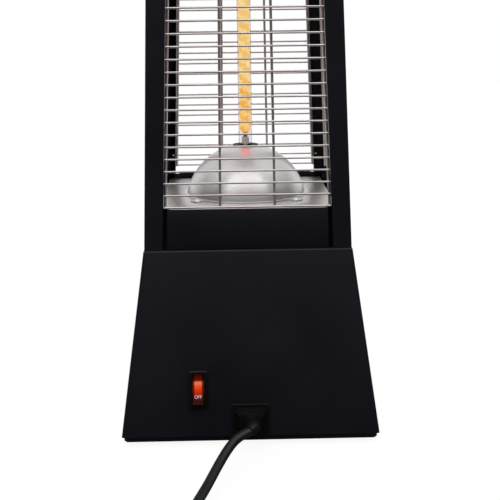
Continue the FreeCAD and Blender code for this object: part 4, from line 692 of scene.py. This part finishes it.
# A spline of this order runs inside its control points by this share of the radius.
inside = (3 + math.cos(2 * math.pi / points_per_turn)) / 4
winding = []
for index in range(1, int(turns * points_per_turn)):
    turn = index / points_per_turn
    radius = (inner_radius + turn_step * abs(turn - turns / 2)) / inside
    angle = first_angle + turn * 2 * math.pi
    climb = turn_step * ease((turn - turns / 2) / climb_turns + 0.5)
    from_coil_middle = Vector((radius * math.cos(angle), radius * math.sin(angle), climb))
    winding.append(coil_middle + from_coil_middle)
heading = Vector((0.45611, 0.88992, 0))
plug_start, plug_sink = Vector((33.84, -301.50, 13.15)), 3.0
winding += [plug_start - heading * 2 * cord_radius, plug_start + heading * plug_sink]
line = bpy.data.curves.new("mains_lead", "CURVE")
line.dimensions = "3D"
line.bevel_depth = cord_radius * mm
line.bevel_resolution = 5
line.resolution_u = 6
line.use_fill_caps = True
points = [Vector(point) for point in route] + winding
spline = line.splines.new("NURBS")
spline.points.add(len(points) - 1)
for target, point in zip(spline.points, points):
    target.co = (*(point * mm), 1.0)
spline.order_u = 3
spline.use_endpoint_u = True
line.materials.append(pvc)
lead_piece = bpy.data.objects.new("mains_lead", line)
bpy.context.scene.collection.objects.link(lead_piece)
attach(lead_piece, "power_lead")
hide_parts("cord_lead", "cord_coil")

# Floor, light and camera
# A pale floor that is white to the eye and keeps the shadow, in a room that is dim on the viewer's
# side, white behind and bright overhead, with three soft boxes and the photograph's own viewpoint.
floor_front, floor_rear, floor_white = 0.0, 0.4, 0.92
room_front, room_rear = 0.15, 0.65


def seen_white(tree, depth, near, far):
    """How white a backdrop is to a ray: to the eye, and in metal and glass that show its rear."""
    ray = add(tree, "ShaderNodeLightPath").outputs
    rear = add(tree, "ShaderNodeMapRange", {
        "Value": depth, "From Min": near, "From Max": far}).outputs["Result"]
    mirrored = add(tree, "ShaderNodeMath", {0: ray["Is Glossy Ray"], 1: ray["Is Transmission Ray"]},
                   operation="MAXIMUM").outputs["Value"]
    mirrored = add(tree, "ShaderNodeMath", {0: mirrored, 1: rear},
                   operation="MULTIPLY").outputs["Value"]
    return add(tree, "ShaderNodeMath", {0: ray["Is Camera Ray"], 1: mirrored},
               operation="MAXIMUM").outputs["Value"]


floor_paint, tree, shader, spot = start_material(
    "pale_floor", Roughness=0.9, Specular_IOR_Level=0.1, Base_Color=linear("#5c5c5c"),
    Emission_Color=(1, 1, 1, 1))
depth = add(tree, "ShaderNodeSeparateXYZ", {"Vector": spot}).outputs["Y"]
add(tree, "ShaderNodeMath", {0: seen_white(tree, depth, floor_front, floor_rear), 1: floor_white},
    shader.inputs["Emission Strength"], operation="MULTIPLY")
shape = bmesh.new()
bmesh.ops.create_grid(shape, x_segments=1, y_segments=1, size=4.0)
mesh = bpy.data.meshes.new("studio_floor")
shape.to_mesh(mesh)
shape.free()
mesh.materials.append(floor_paint)
floor = bpy.data.objects.new("studio_floor", mesh)
bpy.context.scene.collection.objects.link(floor)

world = bpy.data.worlds.new("studio")
bpy.context.scene.world = world
world.use_nodes = True
tree = world.node_tree
sky = tree.nodes["Background"]
sky.inputs["Color"].default_value = (1, 1, 1, 1)
way = add(tree, "ShaderNodeTexCoord").outputs["Generated"]
way = add(tree, "ShaderNodeSeparateXYZ", {"Vector": way}).outputs
behind = add(tree, "ShaderNodeMapRange", {
    "Value": way["Y"], "From Min": room_front, "From Max": room_rear, "To Min": 0.06,
    "To Max": 0.95}).outputs["Result"]
above = add(tree, "ShaderNodeMapRange", {
    "Value": way["Z"], "From Min": 0.25, "From Max": 0.7, "To Min": 0.0,
    "To Max": 0.85}).outputs["Result"]
room = add(tree, "ShaderNodeMath", {0: behind, 1: above}, operation="MAXIMUM").outputs["Value"]
add(tree, "ShaderNodeMath", {0: room, 1: seen_white(tree, way["Y"], room_front, room_rear)},
    sky.inputs["Strength"], operation="MAXIMUM")

aim = Vector((0, 0, 0.25))
for name, where, size, energy in (("left_box", (-1.0, -1.0, 1.7), 1.4, 6.0),
                                  ("right_box", (1.0, -0.8, 1.7), 1.2, 4.0),
                                  ("top_box", (0.0, -0.5, 1.9), 2.0, 9.0)):
    lamp = bpy.data.lights.new(name, "AREA")
    lamp.size = size
    lamp.energy = energy
    box = bpy.data.objects.new(name, lamp)
    box.location = where
    box.rotation_euler = (aim - Vector(where)).to_track_quat("-Z", "Y").to_euler()
    bpy.context.scene.collection.objects.link(box)

lens = bpy.data.cameras.new("viewpoint")
lens.sensor_width = 36.0
lens.lens = 63.03
camera = bpy.data.objects.new("viewpoint", lens)
eye = Vector((-9.18, -755.4, 333.34)) * mm
right = Vector((0.999743, -0.019009, -0.012331))
upward = Vector((0.016710, 0.250967, 0.967852))
forward = Vector((0.015303, 0.967809, -0.251220))
camera.matrix_world = (Matrix.Translation(eye)
                       @ Matrix((right, upward, -forward)).transposed().to_4x4())
bpy.context.scene.collection.objects.link(camera)
bpy.context.scene.camera = camera
bpy.context.scene.view_settings.view_transform = "Standard"
